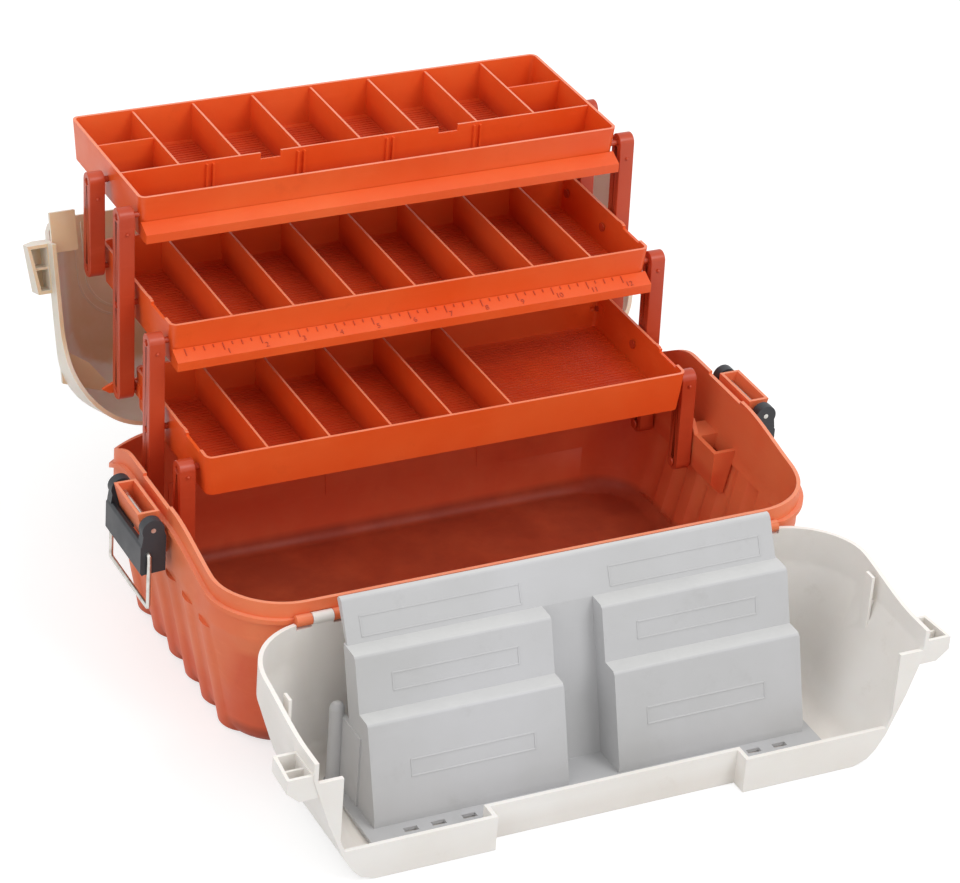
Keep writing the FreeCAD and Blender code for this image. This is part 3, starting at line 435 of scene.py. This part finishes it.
class Palette:
    """The cabinet's finishes, each made once."""

    def __init__(self) -> None:
        """Build every material."""
        self.body = self.body_plastic()
        self.trays = {name: self.tray_plastic(name) for name in TRAY_PLACES}
        self.tray = MouldedPlastic(
            "clear_orange_arm", linear("B83E1E"), linear("C85230"), linear("842812"),
            roughness=0.36, scuff=0.4, soiling=0.18, translucence=0.04).material()
        self.lid = self.front_lid_plastic()
        self.rear = self.rear_lid_plastic()
        # The liner's up-facing faces above 20 mm take a paler grey: a painted highlight on the tops of its
        # steps.
        self.liner = MouldedPlastic(
            "neutral_grey_liner", linear("C2C2C4"), linear("B8B8B8"), linear("8A8680"),
            roughness=0.48, scuff=0.25, soiling=0.16,
            tints=(Tint(linear("D8D8D6"), 0.6, low=(-FAR, -FAR, 20.0), direction=UP),)).material()
        self.latch = MouldedPlastic(
            "charcoal_latch", linear("2A2C30"), linear("393B40"), linear("17171A"),
            roughness=0.45, scuff=0.4, soiling=0.2).material()
        self.steel = DrawnSteel("drawn_steel", linear("D6D4CF"), linear("A59F95")).material()

    @staticmethod
    def body_plastic() -> bpy.types.Material:
        """Faded orange, with painted shade in deeper red on the inner walls and in dark red-brown on the
        floor, and a painted highlight on the up-facing rim.

        Returns:
            The material.
        """
        # Painted shade: deeper red on the box's inner walls.
        painted_wall_shade = Tint(linear("D2421F"), 0.5, (-186.0, -116.0, 2.0), (186.0, 98.0, 70.0), soft=6.0)
        # Painted shade: dark red-brown on the box's inside floor.
        floor = Tint(linear("8A3622"), 0.7, (-181.0, -112.0, -5.0), (181.0, 94.0, 9.0), soft=5.0)
        # Painted highlight: pale orange on the up-facing faces of the rim.
        painted_rim_highlight = Tint(linear("F0A080"), 0.6, low=(-FAR, -FAR, 97.0), direction=UP)
        return MouldedPlastic(
            "faded_orange_body", linear("E2683C"), linear("E88052"), linear("A85238"),
            roughness=0.52, scuff=0.4, soiling=0.2, translucence=0.16, tints=(painted_wall_shade, floor, painted_rim_highlight)).material()

    @staticmethod
    def tray_plastic(name: str) -> bpy.types.Material:
        """Clear orange, with painted shade in deep red low in the cells and a painted highlight on the
        up-facing top edges.

        Args:
            name: The tray's node.

        Returns:
            The material.
        """
        front, rim = TRAY_PLACES[name]
        low, high = (-154.0, front + 13.0, -FAR), (154.0, front + 110.0, rim - 25.0)
        # Painted shade: deep red laid low in the cells.
        painted_cell_shade = Tint(linear("AE2A1C"), 0.62, low, high, soft=12.0)
        # Painted highlight: pale orange on the up-facing faces of the top edges.
        edge = Tint(linear("F59A78"), 0.75, low=(-FAR, -FAR, rim - 1.25), soft=0.2, direction=UP)
        return MouldedPlastic(
            name + "_orange", linear("E6551C"), linear("EC6830"), linear("9A2A12"),
            roughness=0.36, scuff=0.35, soiling=0.15, translucence=0.1, tints=(painted_cell_shade, edge)).material()

    @staticmethod
    def front_lid_plastic() -> bpy.types.Material:
        """Warm white, darker and greyer in its bottom, with a painted highlight on the up-facing faces of its
        rim.

        Returns:
            The material.
        """
        # Darker, greyer colour in the lid's bottom.
        lid_bottom_darker = Tint(linear("D6CCC2"), 0.35, (-170.0, -246.0, 0.0), (170.0, -140.0, 8.0), soft=9.0)
        # Painted highlight: brighter white on the up-facing faces of the rim.
        rim = Tint(linear("F4F0EA"), 0.7, low=(-FAR, -FAR, 60.0), direction=UP)
        return MouldedPlastic(
            "warm_white_lid", linear("F1EEEA"), linear("E8E3DC"), linear("B09C88"),
            roughness=0.38, scuff=0.2, soiling=0.2, translucence=0.03, tints=(lid_bottom_darker, rim)).material()

    @staticmethod
    def rear_lid_plastic() -> bpy.types.Material:
        """Ivory, with painted shade in tan on the inner face of the top.

        Returns:
            The material.
        """
        # Straight down, turned with the lid by REAR_LID_OPEN: the inner face of the top, which takes the
        # painted shade.
        shaded_inner_face = (0.0, -0.951, 0.309)
        return MouldedPlastic(
            "ivory_lid", linear("ECE4D8"), linear("E0D4C2"), linear("A08A70"),
            roughness=0.4, scuff=0.2, soiling=0.25, translucence=0.16,
            tints=(Tint(linear("DDB888"), 0.8, direction=shaded_inner_face),)).material()


def mesh_piece(name: str, shape: bmesh.types.BMesh, material: bpy.types.Material, body: str,
               rounding: float = 0.0) -> bpy.types.Object:
    """Turn a finished bmesh into a piece that rides on a body.

    Args:
        name: The piece's name.
        shape: The mesh, in the row frame and in metres. It is freed.
        material: Its finish.
        body: The CAD body that carries it.
        rounding: Width of a bevel on its sharp edges, in millimetres.

    Returns:
        The new object.
    """
    sharp_radians = 0.6
    bmesh.ops.recalc_face_normals(shape, faces=shape.faces)
    if rounding > 0.0:
        sharp = [e for e in shape.edges if len(e.link_faces) == 2 and e.calc_face_angle(0.0) > sharp_radians]
        bmesh.ops.bevel(shape, geom=sharp, offset=rounding * MM, offset_type="OFFSET", segments=2,
                        profile=0.5, affect="EDGES", material=-1, clamp_overlap=True)
    data = bpy.data.meshes.new(name)
    shape.to_mesh(data)
    shape.free()
    data.materials.append(material)
    piece = bpy.data.objects.new(name, data)
    bpy.context.scene.collection.objects.link(piece)
    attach(piece, body)
    LOG.info("%s: %d faces on %s", name, len(data.polygons), body)
    return piece


def add_bar(shape: bmesh.types.BMesh, low: Point, high: Point, turn: Optional[Matrix] = None) -> None:
    """Add a bar between two corners.

    Args:
        shape: The bmesh that takes it.
        low: Lowest corner in millimetres.
        high: Highest corner in millimetres.
        turn: Matrix applied after the bar is placed, in metres.
    """
    size = [(b - a) * MM for a, b in zip(low, high)]
    middle = Vector([(a + b) * MM / 2 for a, b in zip(low, high)])
    matrix = Matrix.Translation(middle) @ Matrix.Diagonal((*size, 1.0))
    made = bmesh.ops.create_cube(shape, size=1.0, matrix=matrix)["verts"]
    if turn is not None:
        bmesh.ops.transform(shape, matrix=turn, verts=made)


def turned_about(angle: float, y: float, z: float) -> Matrix:
    """Matrix that turns a piece about an X axis.

    Args:
        angle: Degrees by the right-hand rule.
        y: The axis' Y in millimetres.
        z: The axis' Z in millimetres.

    Returns:
        The matrix, in metres.
    """
    centre = Vector((0.0, y * MM, z * MM))
    turn = Matrix.Rotation(math.radians(angle), 4, "X")
    return Matrix.Translation(centre) @ turn @ Matrix.Translation(-centre)


def plane_matrix(across: Vector, upward: Vector, outward: Vector, origin: Vector) -> Matrix:
    """Matrix with three directions and an origin as its columns.

    Args:
        across: Its X direction.
        upward: Its Y direction.
        outward: Its Z direction.
        origin: Its place in metres.

    Returns:
        The matrix.
    """
    matrix = Matrix.Identity(4)
    for column, vector in enumerate((across, upward, outward, origin)):
        matrix.col[column].xyz = vector
    return matrix


class NodeDresser:
    """Gives CAD nodes their finish and rounds their moulded edges."""

    def __init__(self, nodes: dict) -> None:
        """Keep the frame's nodes.

        Args:
            nodes: Node name to object.
        """
        self.nodes = nodes

    def dress(self, names: Iterable[str], material: bpy.types.Material,
              crisp: Optional[Crispness] = None) -> None:
        """Assign a finish and live edge rounding.

        Args:
            names: The nodes.
            material: The finish.
            crisp: How far the edges are rounded, or None to leave them.
        """
        for name in names:
            piece = self.nodes[name]
            piece.data.materials.clear()
            piece.data.materials.append(material)
            if crisp is not None:
                self.round_edges(piece, crisp.value)
            LOG.info("dressed %s with %s", name, material.name)

    @staticmethod
    def round_edges(piece: bpy.types.Object, width: float) -> None:
        """Weld the node's triangles for display and bevel its sharp edges.

        Args:
            piece: The node's object.
            width: Bevel width in millimetres.
        """
        merge_distance, sharp_angle, segments, face_weight = 0.00002, 40.0, 2, 80
        for polygon in piece.data.polygons:
            polygon.use_smooth = True
        weld = piece.modifiers.new("Weld", "WELD")
        weld.merge_threshold = merge_distance
        bevel = piece.modifiers.new("Rounded edges", "BEVEL")
        bevel.width = width * MM
        bevel.segments = segments
        bevel.limit_method = "ANGLE"
        bevel.angle_limit = math.radians(sharp_angle)
        bevel.harden_normals = False
        bevel.miter_outer = "MITER_ARC"
        normals = piece.modifiers.new("Even normals", "WEIGHTED_NORMAL")
        normals.keep_sharp = False
        normals.weight = face_weight


@dataclass
class TrayRibs:
    """Fine ribs on one tray's floor. Lengths are in millimetres.

    Attributes:
        tray: The tray's node.
        rows: Low x and high x of each row of ribs, and its ends behind the tray's front edge.
        floor_thick: Thickness of the tray's floor.
        pitch: Distance from rib to rib.
        half_wide: Half a rib's width.
        sunk: Its depth below the floor's top.
        high: Its height above the floor's top.
    """

    tray: str
    rows: List[Tuple[float, float, float, float]]
    floor_thick: float = 1.8
    pitch: float = 3.2
    half_wide: float = 0.55
    sunk: float = 0.2
    high: float = 0.45

    def build(self, palette: Palette) -> None:
        """Lay the ribs along each row, as one piece.

        Args:
            palette: The finishes.
        """
        shape = bmesh.new()
        front_y, rim_z = TRAY_PLACES[self.tray]
        floor_z = rim_z - TRAY_HEIGHT + self.floor_thick
        for x0, x1, y0, y1 in self.rows:
            for index in range(int((y1 - y0) / self.pitch)):
                y = front_y + y0 + self.pitch * (index + 0.5)
                add_bar(shape, (x0, y - self.half_wide, floor_z - self.sunk),
                        (x1, y + self.half_wide, floor_z + self.high))
        finish = palette.trays[self.tray]
        mesh_piece(self.tray + "_floor_ribs", shape, finish, self.tray)


@dataclass
class RulerLip:
    """Moulded ruler on the middle tray's sloping lip. Lengths are in millimetres.

    Attributes:
        start_drop: Height of the rim above the slope's upper end.
        out: Distance from the tray's front to the slope's lower end.
        face: Height of the slope's lower end above the tray's underside.
        zero_x: X of the ruler's zero.
        inch: Distance from number to number.
        count: The highest number.
        proud: Height of the ticks above the slope.
        sunk: Their depth below it.
        half_tick: Half a tick's width.
        reaches: Lengths of the whole, half and quarter ticks as shares of the slope's width.
        number_size: Height of a line of numbers.
        number_thick: Half the numbers' thickness.
        number_lift: Height of their middle above the slope.
        number_gap: Distance from a tick to its number.
        number_low: Distance from the slope's lower end to the numbers.
    """

    start_drop: float = 17.0
    out: float = 9.0
    face: float = 6.0
    zero_x: float = -158.0
    inch: float = 25.4
    count: int = 12
    proud: float = 0.35
    sunk: float = 0.3
    half_tick: float = 0.28
    reaches: Tuple[float, float, float] = (0.52, 0.34, 0.22)
    number_size: float = 5.2
    number_thick: float = 0.3
    number_lift: float = 0.05
    number_gap: float = 1.2
    number_low: float = 1.4

    def slope(self) -> Matrix:
        """Matrix from the lip's own plane (x along, y up the slope) to the row frame.

        Returns:
            The matrix, in metres.
        """
        front_y, rim_z = TRAY_PLACES["middle_tray"]
        top = Vector((0.0, front_y * MM, (rim_z - self.start_drop) * MM))
        low = Vector((0.0, (front_y - self.out) * MM, (rim_z - TRAY_HEIGHT + self.face) * MM))
        along = Vector((1, 0, 0))
        up = (top - low).normalized()
        out = along.cross(up).normalized()
        return plane_matrix(along, up, -out if out.y > 0 else out, low)

    def build(self, palette: Palette) -> None:
        """Raised ticks and plain numbers, as one piece.

        Args:
            palette: The finishes.
        """
        shape = bmesh.new()
        plane = self.slope()
        length = math.hypot(self.out, TRAY_HEIGHT - self.face - self.start_drop)
        for quarter in range(self.count * 4 + 1):
            x = self.zero_x + self.inch * quarter / 4
            reach = self.reaches[(0, 2, 1, 2)[quarter % 4]]
            add_bar(shape, (x - self.half_tick, length * (1 - reach) - self.sunk, -self.sunk),
                    (x + self.half_tick, length - self.sunk, self.proud), plane)
        for number in range(1, self.count + 1):
            self.add_number(shape, str(number), self.zero_x + self.inch * number + self.number_gap, plane)
        mesh_piece("middle_tray_ruler", shape, palette.tray, "middle_tray")

    def add_number(self, shape: bmesh.types.BMesh, text: str, x: float, plane: Matrix) -> None:
        """Add one raised number.

        Args:
            shape: The bmesh that takes it.
            text: The number.
            x: Its left edge in millimetres.
            plane: The lip's plane.
        """
        curve = bpy.data.curves.new("number", "FONT")
        curve.body = text
        curve.size = self.number_size * MM
        curve.extrude = self.number_thick * MM
        carrier = bpy.data.objects.new("number", curve)
        bpy.context.scene.collection.objects.link(carrier)
        bpy.context.view_layer.update()
        data = bpy.data.meshes.new_from_object(carrier)
        corner = Vector((x * MM, self.number_low * MM, self.number_lift * MM))
        data.transform(plane @ Matrix.Translation(corner))
        shape.from_mesh(data)
        bpy.data.objects.remove(carrier)
        bpy.data.curves.remove(curve)
        bpy.data.meshes.remove(data)


@dataclass(frozen=True)
class LinerFace:
    """One sloping face of the liner and the outline on it. Lengths are in millimetres.

    Attributes:
        top: Y and z of the face's upper end.
        low: Y and z of its lower end.
        across: Distances of the outline's upright lines from the mirror plane.
        down: Places of its level lines, as shares of the way down the face.
    """

    top: Pair
    low: Pair
    across: Pair
    down: Pair


@dataclass
class LinerOutlines:
    """Raised rectangular outlines on the liner's panel and steps. Lengths are in millimetres.

    Attributes:
        line: Width of a line.
        proud: Its height above the face.
        sunk: Its depth below the face.
        rounding: Bevel of its edges.
        faces: The faces, each of which has an outline on both blocks.
    """

    line: float = 1.0
    proud: float = 0.4
    sunk: float = 0.2
    rounding: float = 0.18
    faces: Tuple[LinerFace, ...] = (
        LinerFace((-152.0, 124.5), (-164.0, 101.0), (30.0, 134.0), (0.38, 0.84)),
        LinerFace((-177.0, 99.6), (-187.0, 68.0), (40.0, 122.0), (0.36, 0.68)),
        LinerFace((-199.6, 66.0), (-216.0, 11.0), (38.0, 119.0), (0.42, 0.6)),
    )

    def build(self, palette: Palette) -> None:
        """Frames of thin raised lines on both blocks, as one piece.

        Args:
            palette: The finishes.
        """
        shape = bmesh.new()
        for face in self.faces:
            top, low = Vector((0, *face.top)), Vector((0, *face.low))
            along = Vector((1, 0, 0))
            down = (low - top).normalized()
            out = along.cross(-down).normalized()
            plane = plane_matrix(along, down, -out if out.y > 0 else out, top * MM)
            high_end, low_end = ((low - top).length * share for share in face.down)
            for side in (-1, 1):
                left, right = sorted(side * x for x in face.across)
                self.add_frame(shape, plane, (left, right), (high_end, low_end))
        mesh_piece("liner_raised_outlines", shape, palette.liner, "front_lid", self.rounding)

    def add_frame(self, shape: bmesh.types.BMesh, plane: Matrix, across: Pair, down: Pair) -> None:
        """Add the four bars of one outline.

        Args:
            shape: The bmesh that takes them.
            plane: The face's plane.
            across: Left and right line, in millimetres along the face.
            down: Upper and lower line, in millimetres down the face.
        """
        half = self.line / 2
        (left, right), (high_end, low_end) = across, down
        bars = [(left, right, line - half, line + half) for line in (high_end, low_end)]
        bars += [(line - half, line + half, high_end - half, low_end + half) for line in (left, right)]
        for x0, x1, y0, y1 in bars:
            add_bar(shape, (x0, y0, -self.sunk), (x1, y1, self.proud), plane)


@dataclass
class LidRidges:
    """Raised ridges on the inner face of the rear lid's top: nested rounded outlines.

    Lengths are in millimetres, with the lid closed.

    Attributes:
        inner_z: Height of the inner face.
        loops: Half the width of each outline, y of its rear line, and its corner radius.
        profile: Corners of a ridge, as shares of its half width and heights from the inner face.
        front_y: Y of the outlines' front ends.
        half_wide: Half a ridge's width.
        corner_steps: Segments of each rounded corner.
    """

    inner_z: float = 202.2
    loops: Tuple[Point, ...] = ((158.0, 62.0, 30.0), (152.5, 56.5, 25.0))
    profile: Tuple[Pair, ...] = ((-1.0, 0.3), (-0.5, -0.6), (0.5, -0.6), (1.0, 0.3))
    front_y: float = -4.0
    half_wide: float = 0.9
    corner_steps: int = 12

    def path(self, half: float, rear: float, corner: float) -> List[Pair]:
        """Points of one outline, from the front edge round the back.

        Args:
            half: Half its width in millimetres.
            rear: Y of its rear line with the lid closed.
            corner: Radius of its rear corners.

        Returns:
            The (x, y) points.
        """
        points = [(-half, self.front_y)]
        for side, start in ((-1, 180.0), (1, 90.0)):
            for step in range(self.corner_steps + 1):
                angle = math.radians(start - 90.0 * step / self.corner_steps)
                points.append((side * (half - corner) + corner * math.cos(angle),
                               rear - corner + corner * math.sin(angle)))
        points.append((half, self.front_y))
        return points

    def build(self, palette: Palette) -> None:
        """The ridges as one piece on the rear lid.

        Args:
            palette: The finishes.
        """
        shape = bmesh.new()
        place = turned_about(-REAR_LID_OPEN, *REAR_HINGE)
        corners = len(self.profile)
        for loop in self.loops:
            points = self.path(*loop)
            rings = []
            for index, (x, y) in enumerate(points):
                before, after = points[max(0, index - 1)], points[min(len(points) - 1, index + 1)]
                run = Vector((after[0] - before[0], after[1] - before[1], 0.0)).normalized()
                across = Vector((-run.y, run.x, 0.0)) * self.half_wide
                ring = [Vector((x, y, self.inner_z + rise)) + across * side for side, rise in self.profile]
                rings.append([shape.verts.new(place @ (point * MM)) for point in ring])
            for first, second in zip(rings, rings[1:]):
                for here in range(corners):
                    there = (here + 1) % corners
                    shape.faces.new((first[here], first[there], second[there], second[here]))
            shape.faces.new(rings[0])
            shape.faces.new(list(reversed(rings[-1])))
        mesh_piece("rear_lid_inner_ridges", shape, palette.rear, "rear_lid")


@dataclass
class ArmMarks:
    """Small domed marks on the front faces of the arms, one below each top end. Lengths are in millimetres.

    Attributes:
        marks: Body, y and z of each pair of marks.
        middle_x: Their distance from the mirror plane.
        radius: Radius of a mark.
        around: Its segments around.
        rings: Its segments from pole to pole.
    """

    marks: Tuple[Tuple[str, float, float], ...] = (
        ("arms_a", 171.3, 236.8), ("arms_b", 119.4, 236.8), ("arms_c", 64.2, 181.3), ("arms_d", 9.1, 124.0))
    middle_x: float = 175.2
    radius: float = 1.1
    around: int = 16
    rings: int = 8

    def build(self, palette: Palette) -> None:
        """One pair of marks for each pair of arms.

        Args:
            palette: The finishes.
        """
        for body, y, z in self.marks:
            shape = bmesh.new()
            for side in (-1, 1):
                place = Matrix.Translation(Vector((side * self.middle_x, y, z)) * MM)
                bmesh.ops.create_uvsphere(shape, u_segments=self.around, v_segments=self.rings,
                                          radius=self.radius * MM, matrix=place)
            piece = mesh_piece(body + "_marks", shape, palette.tray, body)
            for polygon in piece.data.polygons:
                polygon.use_smooth = True


@dataclass(frozen=True)
class Lamp:
    """Soft square lamp.

    Attributes:
        name: The lamp's name.
        place: Where it hangs, in metres.
        side: Length of its side in metres.
        power: Its power in watts.
        aim: The point it shines at, in metres.
    """

    name: str
    place: Point
    side: float
    power: float
    aim: Point = (0.0, 0.0, 0.1)

    def build(self) -> None:
        """Add the lamp to the scene."""
        data = bpy.data.lights.new(self.name, "AREA")
        data.shape = "SQUARE"
        data.size = self.side
        data.energy = self.power
        lamp = bpy.data.objects.new(self.name, data)
        bpy.context.scene.collection.objects.link(lamp)
        place, aim = Vector(self.place), Vector(self.aim)
        turn = (place - aim).to_track_quat("Z", "Y")
        lamp.matrix_world = Matrix.Translation(place) @ turn.to_matrix().to_4x4()


@dataclass
class Studio:
    """Plain pale floor, soft light and the camera.

    Attributes:
        eye: The camera's place in millimetres.
        azimuth: Degrees that the camera stands round from the front, towards +X.
        elevation: Degrees that it stands above the part.
        roll: Degrees that it is turned about its own axis.
        focal_px: Focal length in pixels.
        width_px: Width of the render in pixels.
        sensor_mm: Width of the sensor in millimetres.
        clip_end: How far the camera sees, in metres.
        surround: Strength of the surroundings' light.
        floor_glow: Light that the floor adds for the camera and for reflections.
        floor_half: Half the floor's side in metres.
        floor_drop: Its depth below the part in metres.
        floor_tones: The two greys it drifts between.
        lamps: The lamps.
    """

    eye: Point = (-936.8, -1804.44, 1302.79)
    azimuth: float = -27.92
    elevation: float = 30.13
    roll: float = 4.49
    focal_px: float = 3732.79
    width_px: float = 960.0
    sensor_mm: float = 36.0
    clip_end: float = 50.0
    surround: float = 0.86
    floor_glow: float = 0.62
    floor_half: float = 6.0
    floor_drop: float = 0.0004
    floor_tones: Tuple[Colour, Colour] = ((0.5, 0.5, 0.5), (0.52, 0.52, 0.52))
    lamps: Tuple[Lamp, ...] = (
        Lamp("key", (0.9, -1.6, 2.1), side=1.1, power=21.0),
        Lamp("fill", (-2.2, -0.9, 1.4), side=1.6, power=9.0),
    )

    def camera(self) -> None:
        """Make the camera and select it."""
        az, el, roll = (math.radians(v) for v in (self.azimuth, self.elevation, self.roll))
        back = Vector((math.sin(az) * math.cos(el), -math.cos(az) * math.cos(el), math.sin(el)))
        right = (-back).cross(Vector(UP)).normalized()
        up = right.cross(-back)
        across = right * math.cos(roll) + up * math.sin(roll)
        upward = -right * math.sin(roll) + up * math.cos(roll)
        data = bpy.data.cameras.new("studio_camera")
        data.sensor_fit = "HORIZONTAL"
        data.sensor_width = self.sensor_mm
        data.lens = self.focal_px * self.sensor_mm / self.width_px
        data.clip_end = self.clip_end
        camera = bpy.data.objects.new("studio_camera", data)
        bpy.context.scene.collection.objects.link(camera)
        camera.matrix_world = plane_matrix(across, upward, back, Vector(self.eye) * MM)
        bpy.context.scene.camera = camera

    def floor(self) -> None:
        """Pale floor that takes a soft shadow and shows white."""
        shape = bmesh.new()
        bmesh.ops.create_grid(shape, x_segments=2, y_segments=2, size=self.floor_half,
                              matrix=Matrix.Translation(Vector((0, 0, -self.floor_drop))))
        data = bpy.data.meshes.new("studio_floor")
        shape.to_mesh(data)
        shape.free()
        plane = bpy.data.objects.new("studio_floor", data)
        bpy.context.scene.collection.objects.link(plane)
        bench = NodeBench("studio_floor")
        tone = bench.noise(scale=0.8, detail=2.0)
        pale = bench.spread(tone, "Fac", 0.3, 0.7)
        colour = bench.blend(pale, "Result", *self.floor_tones)
        bench.link(colour, COLOUR_OUT, bench.shader, "Base Color")
        bench.shader.inputs["Roughness"].default_value = 0.9
        bench.shader.inputs["Specular IOR Level"].default_value = 0.1
        glow = bench.add("ShaderNodeEmission")
        bench.link(self.seen_directly(bench.tree, self.floor_glow), 0, glow, "Strength")
        both = bench.add("ShaderNodeAddShader")
        bench.link(bench.shader, "BSDF", both, 0)
        bench.link(glow, "Emission", both, 1)
        bench.link(both, "Shader", bench.output, "Surface")
        data.materials.append(bench.material)

    @staticmethod
    def seen_directly(tree: bpy.types.NodeTree, strength: float) -> bpy.types.Node:
        """Value that is a strength for camera, glossy and transmitted rays, and 0 for the rest.

        Args:
            tree: The node tree that takes the nodes.
            strength: The value for those rays.

        Returns:
            The node that gives it.
        """
        path = tree.nodes.new("ShaderNodeLightPath")
        total = path.outputs["Is Camera Ray"]
        for name in ("Is Glossy Ray", "Is Transmission Ray"):
            larger = tree.nodes.new("ShaderNodeMath")
            larger.operation = "MAXIMUM"
            tree.links.new(total, larger.inputs[0])
            tree.links.new(path.outputs[name], larger.inputs[1])
            total = larger.outputs[0]
        scaled = tree.nodes.new("ShaderNodeMath")
        scaled.operation = "MULTIPLY"
        scaled.inputs[1].default_value = strength
        tree.links.new(total, scaled.inputs[0])
        return scaled

    def world(self) -> None:
        """White surroundings for the camera and for reflections, softer for the light."""
        world = bpy.data.worlds.new("studio_world")
        bpy.context.scene.world = world
        world.use_nodes = True
        tree = world.node_tree
        tree.nodes.clear()
        output = tree.nodes.new("ShaderNodeOutputWorld")
        mix = tree.nodes.new("ShaderNodeMixShader")
        seen = self.seen_directly(tree, 1.0)
        dim = tree.nodes.new("ShaderNodeBackground")
        white = tree.nodes.new("ShaderNodeBackground")
        dim.inputs["Color"].default_value = WHITE
        dim.inputs["Strength"].default_value = self.surround
        white.inputs["Color"].default_value = WHITE
        white.inputs["Strength"].default_value = 1.0
        tree.links.new(seen.outputs[0], mix.inputs[0])
        tree.links.new(dim.outputs[0], mix.inputs[1])
        tree.links.new(white.outputs[0], mix.inputs[2])
        tree.links.new(mix.outputs[0], output.inputs["Surface"])

    def build(self) -> None:
        """Set up the whole studio."""
        self.camera()
        self.floor()
        self.world()
        for lamp in self.lamps:
            lamp.build()
        bpy.context.scene.view_settings.view_transform = "Standard"


class Cabinet:
    """The whole cabinet: CAD nodes with their finishes and the fine detail on them."""

    def __init__(self, frame: dict) -> None:
        """Keep the frame's nodes and make the finishes.
        """
        self.nodes = frame["nodes"]
        self.palette = Palette()
        self.dresser = NodeDresser(self.nodes)

    def dress_nodes(self) -> None:
        """Give each CAD node its finish."""
        palette, dresser = self.palette, self.dresser
        dresser.dress(["base_box"], palette.body, Crispness.WALL)
        dresser.dress(["arm_bracket_left", "arm_bracket_right"], palette.body, Crispness.THIN_WALL)
        dresser.dress(["front_lid"], palette.lid, Crispness.WALL)
        dresser.dress(["rear_lid"], palette.rear, Crispness.WALL)
        dresser.dress(["carry_handle", "carry_handle_lugs"], palette.lid, Crispness.WALL)
        dresser.dress(["front_lid_liner"], palette.liner, Crispness.SOFT)
        for tray, finish in palette.trays.items():
            dresser.dress([tray], finish, Crispness.THIN_WALL)
            dresser.dress([tray + "_pivot_pins"], palette.tray)
        arms = [name for name in self.nodes if name.startswith("tray_arm_")]
        dresser.dress(arms + ["base_pivot_pins"], palette.tray, Crispness.WALL)
        dresser.dress(["front_hinge_pins", "rear_hinge_pins"], palette.body)
        dresser.dress(["carry_handle_pins"], palette.lid)
        dresser.dress(["latch_lever_left", "latch_lever_right"], palette.latch, Crispness.WALL)
        wires = [name for name in self.nodes if name.startswith(("latch_bail", "latch_pin"))]
        dresser.dress(wires, palette.steel)

    def tray_details(self) -> None:
        """Floor ribs and the ruler."""
        columns, wall, inset = 8, 1.6, 5.5
        front, rear, divider = 6.0, 117.0, 42.0
        front_row = (-162.0, 162.0, 5.5, 36.5)
        pitch, half = TRAY_LENGTH / columns, TRAY_LENGTH / 2
        end = half - inset
        cells = [(-half + pitch * i + wall, -half + pitch * (i + 1) - wall) for i in range(columns)]
        # The top tray's end cells have no ribs, and the bottom tray's last three cells are one.
        clipped = [(max(low, -end), min(high, end), front, rear) for low, high in cells]
        top = [front_row] + [(low, high, divider, rear) for low, high in cells[1:7]]
        bottom = clipped[:5] + [(cells[5][0], end, front, rear)]
        for tray, rows in (("top_tray", top), ("middle_tray", clipped), ("bottom_tray", bottom)):
            TrayRibs(tray, rows).build(self.palette)
        RulerLip().build(self.palette)

    def build(self) -> None:
        """Dress the cabinet."""
        self.dress_nodes()
        self.tray_details()
        LinerOutlines().build(self.palette)
        LidRidges().build(self.palette)
        ArmMarks().build(self.palette)


def main() -> None:
    """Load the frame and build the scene."""
    logging.basicConfig(level=logging.INFO, format="%(name)s: %(message)s")
    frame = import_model()
    Cabinet(frame).build()
    Studio().build()


if __name__ == "__main__":
    main()
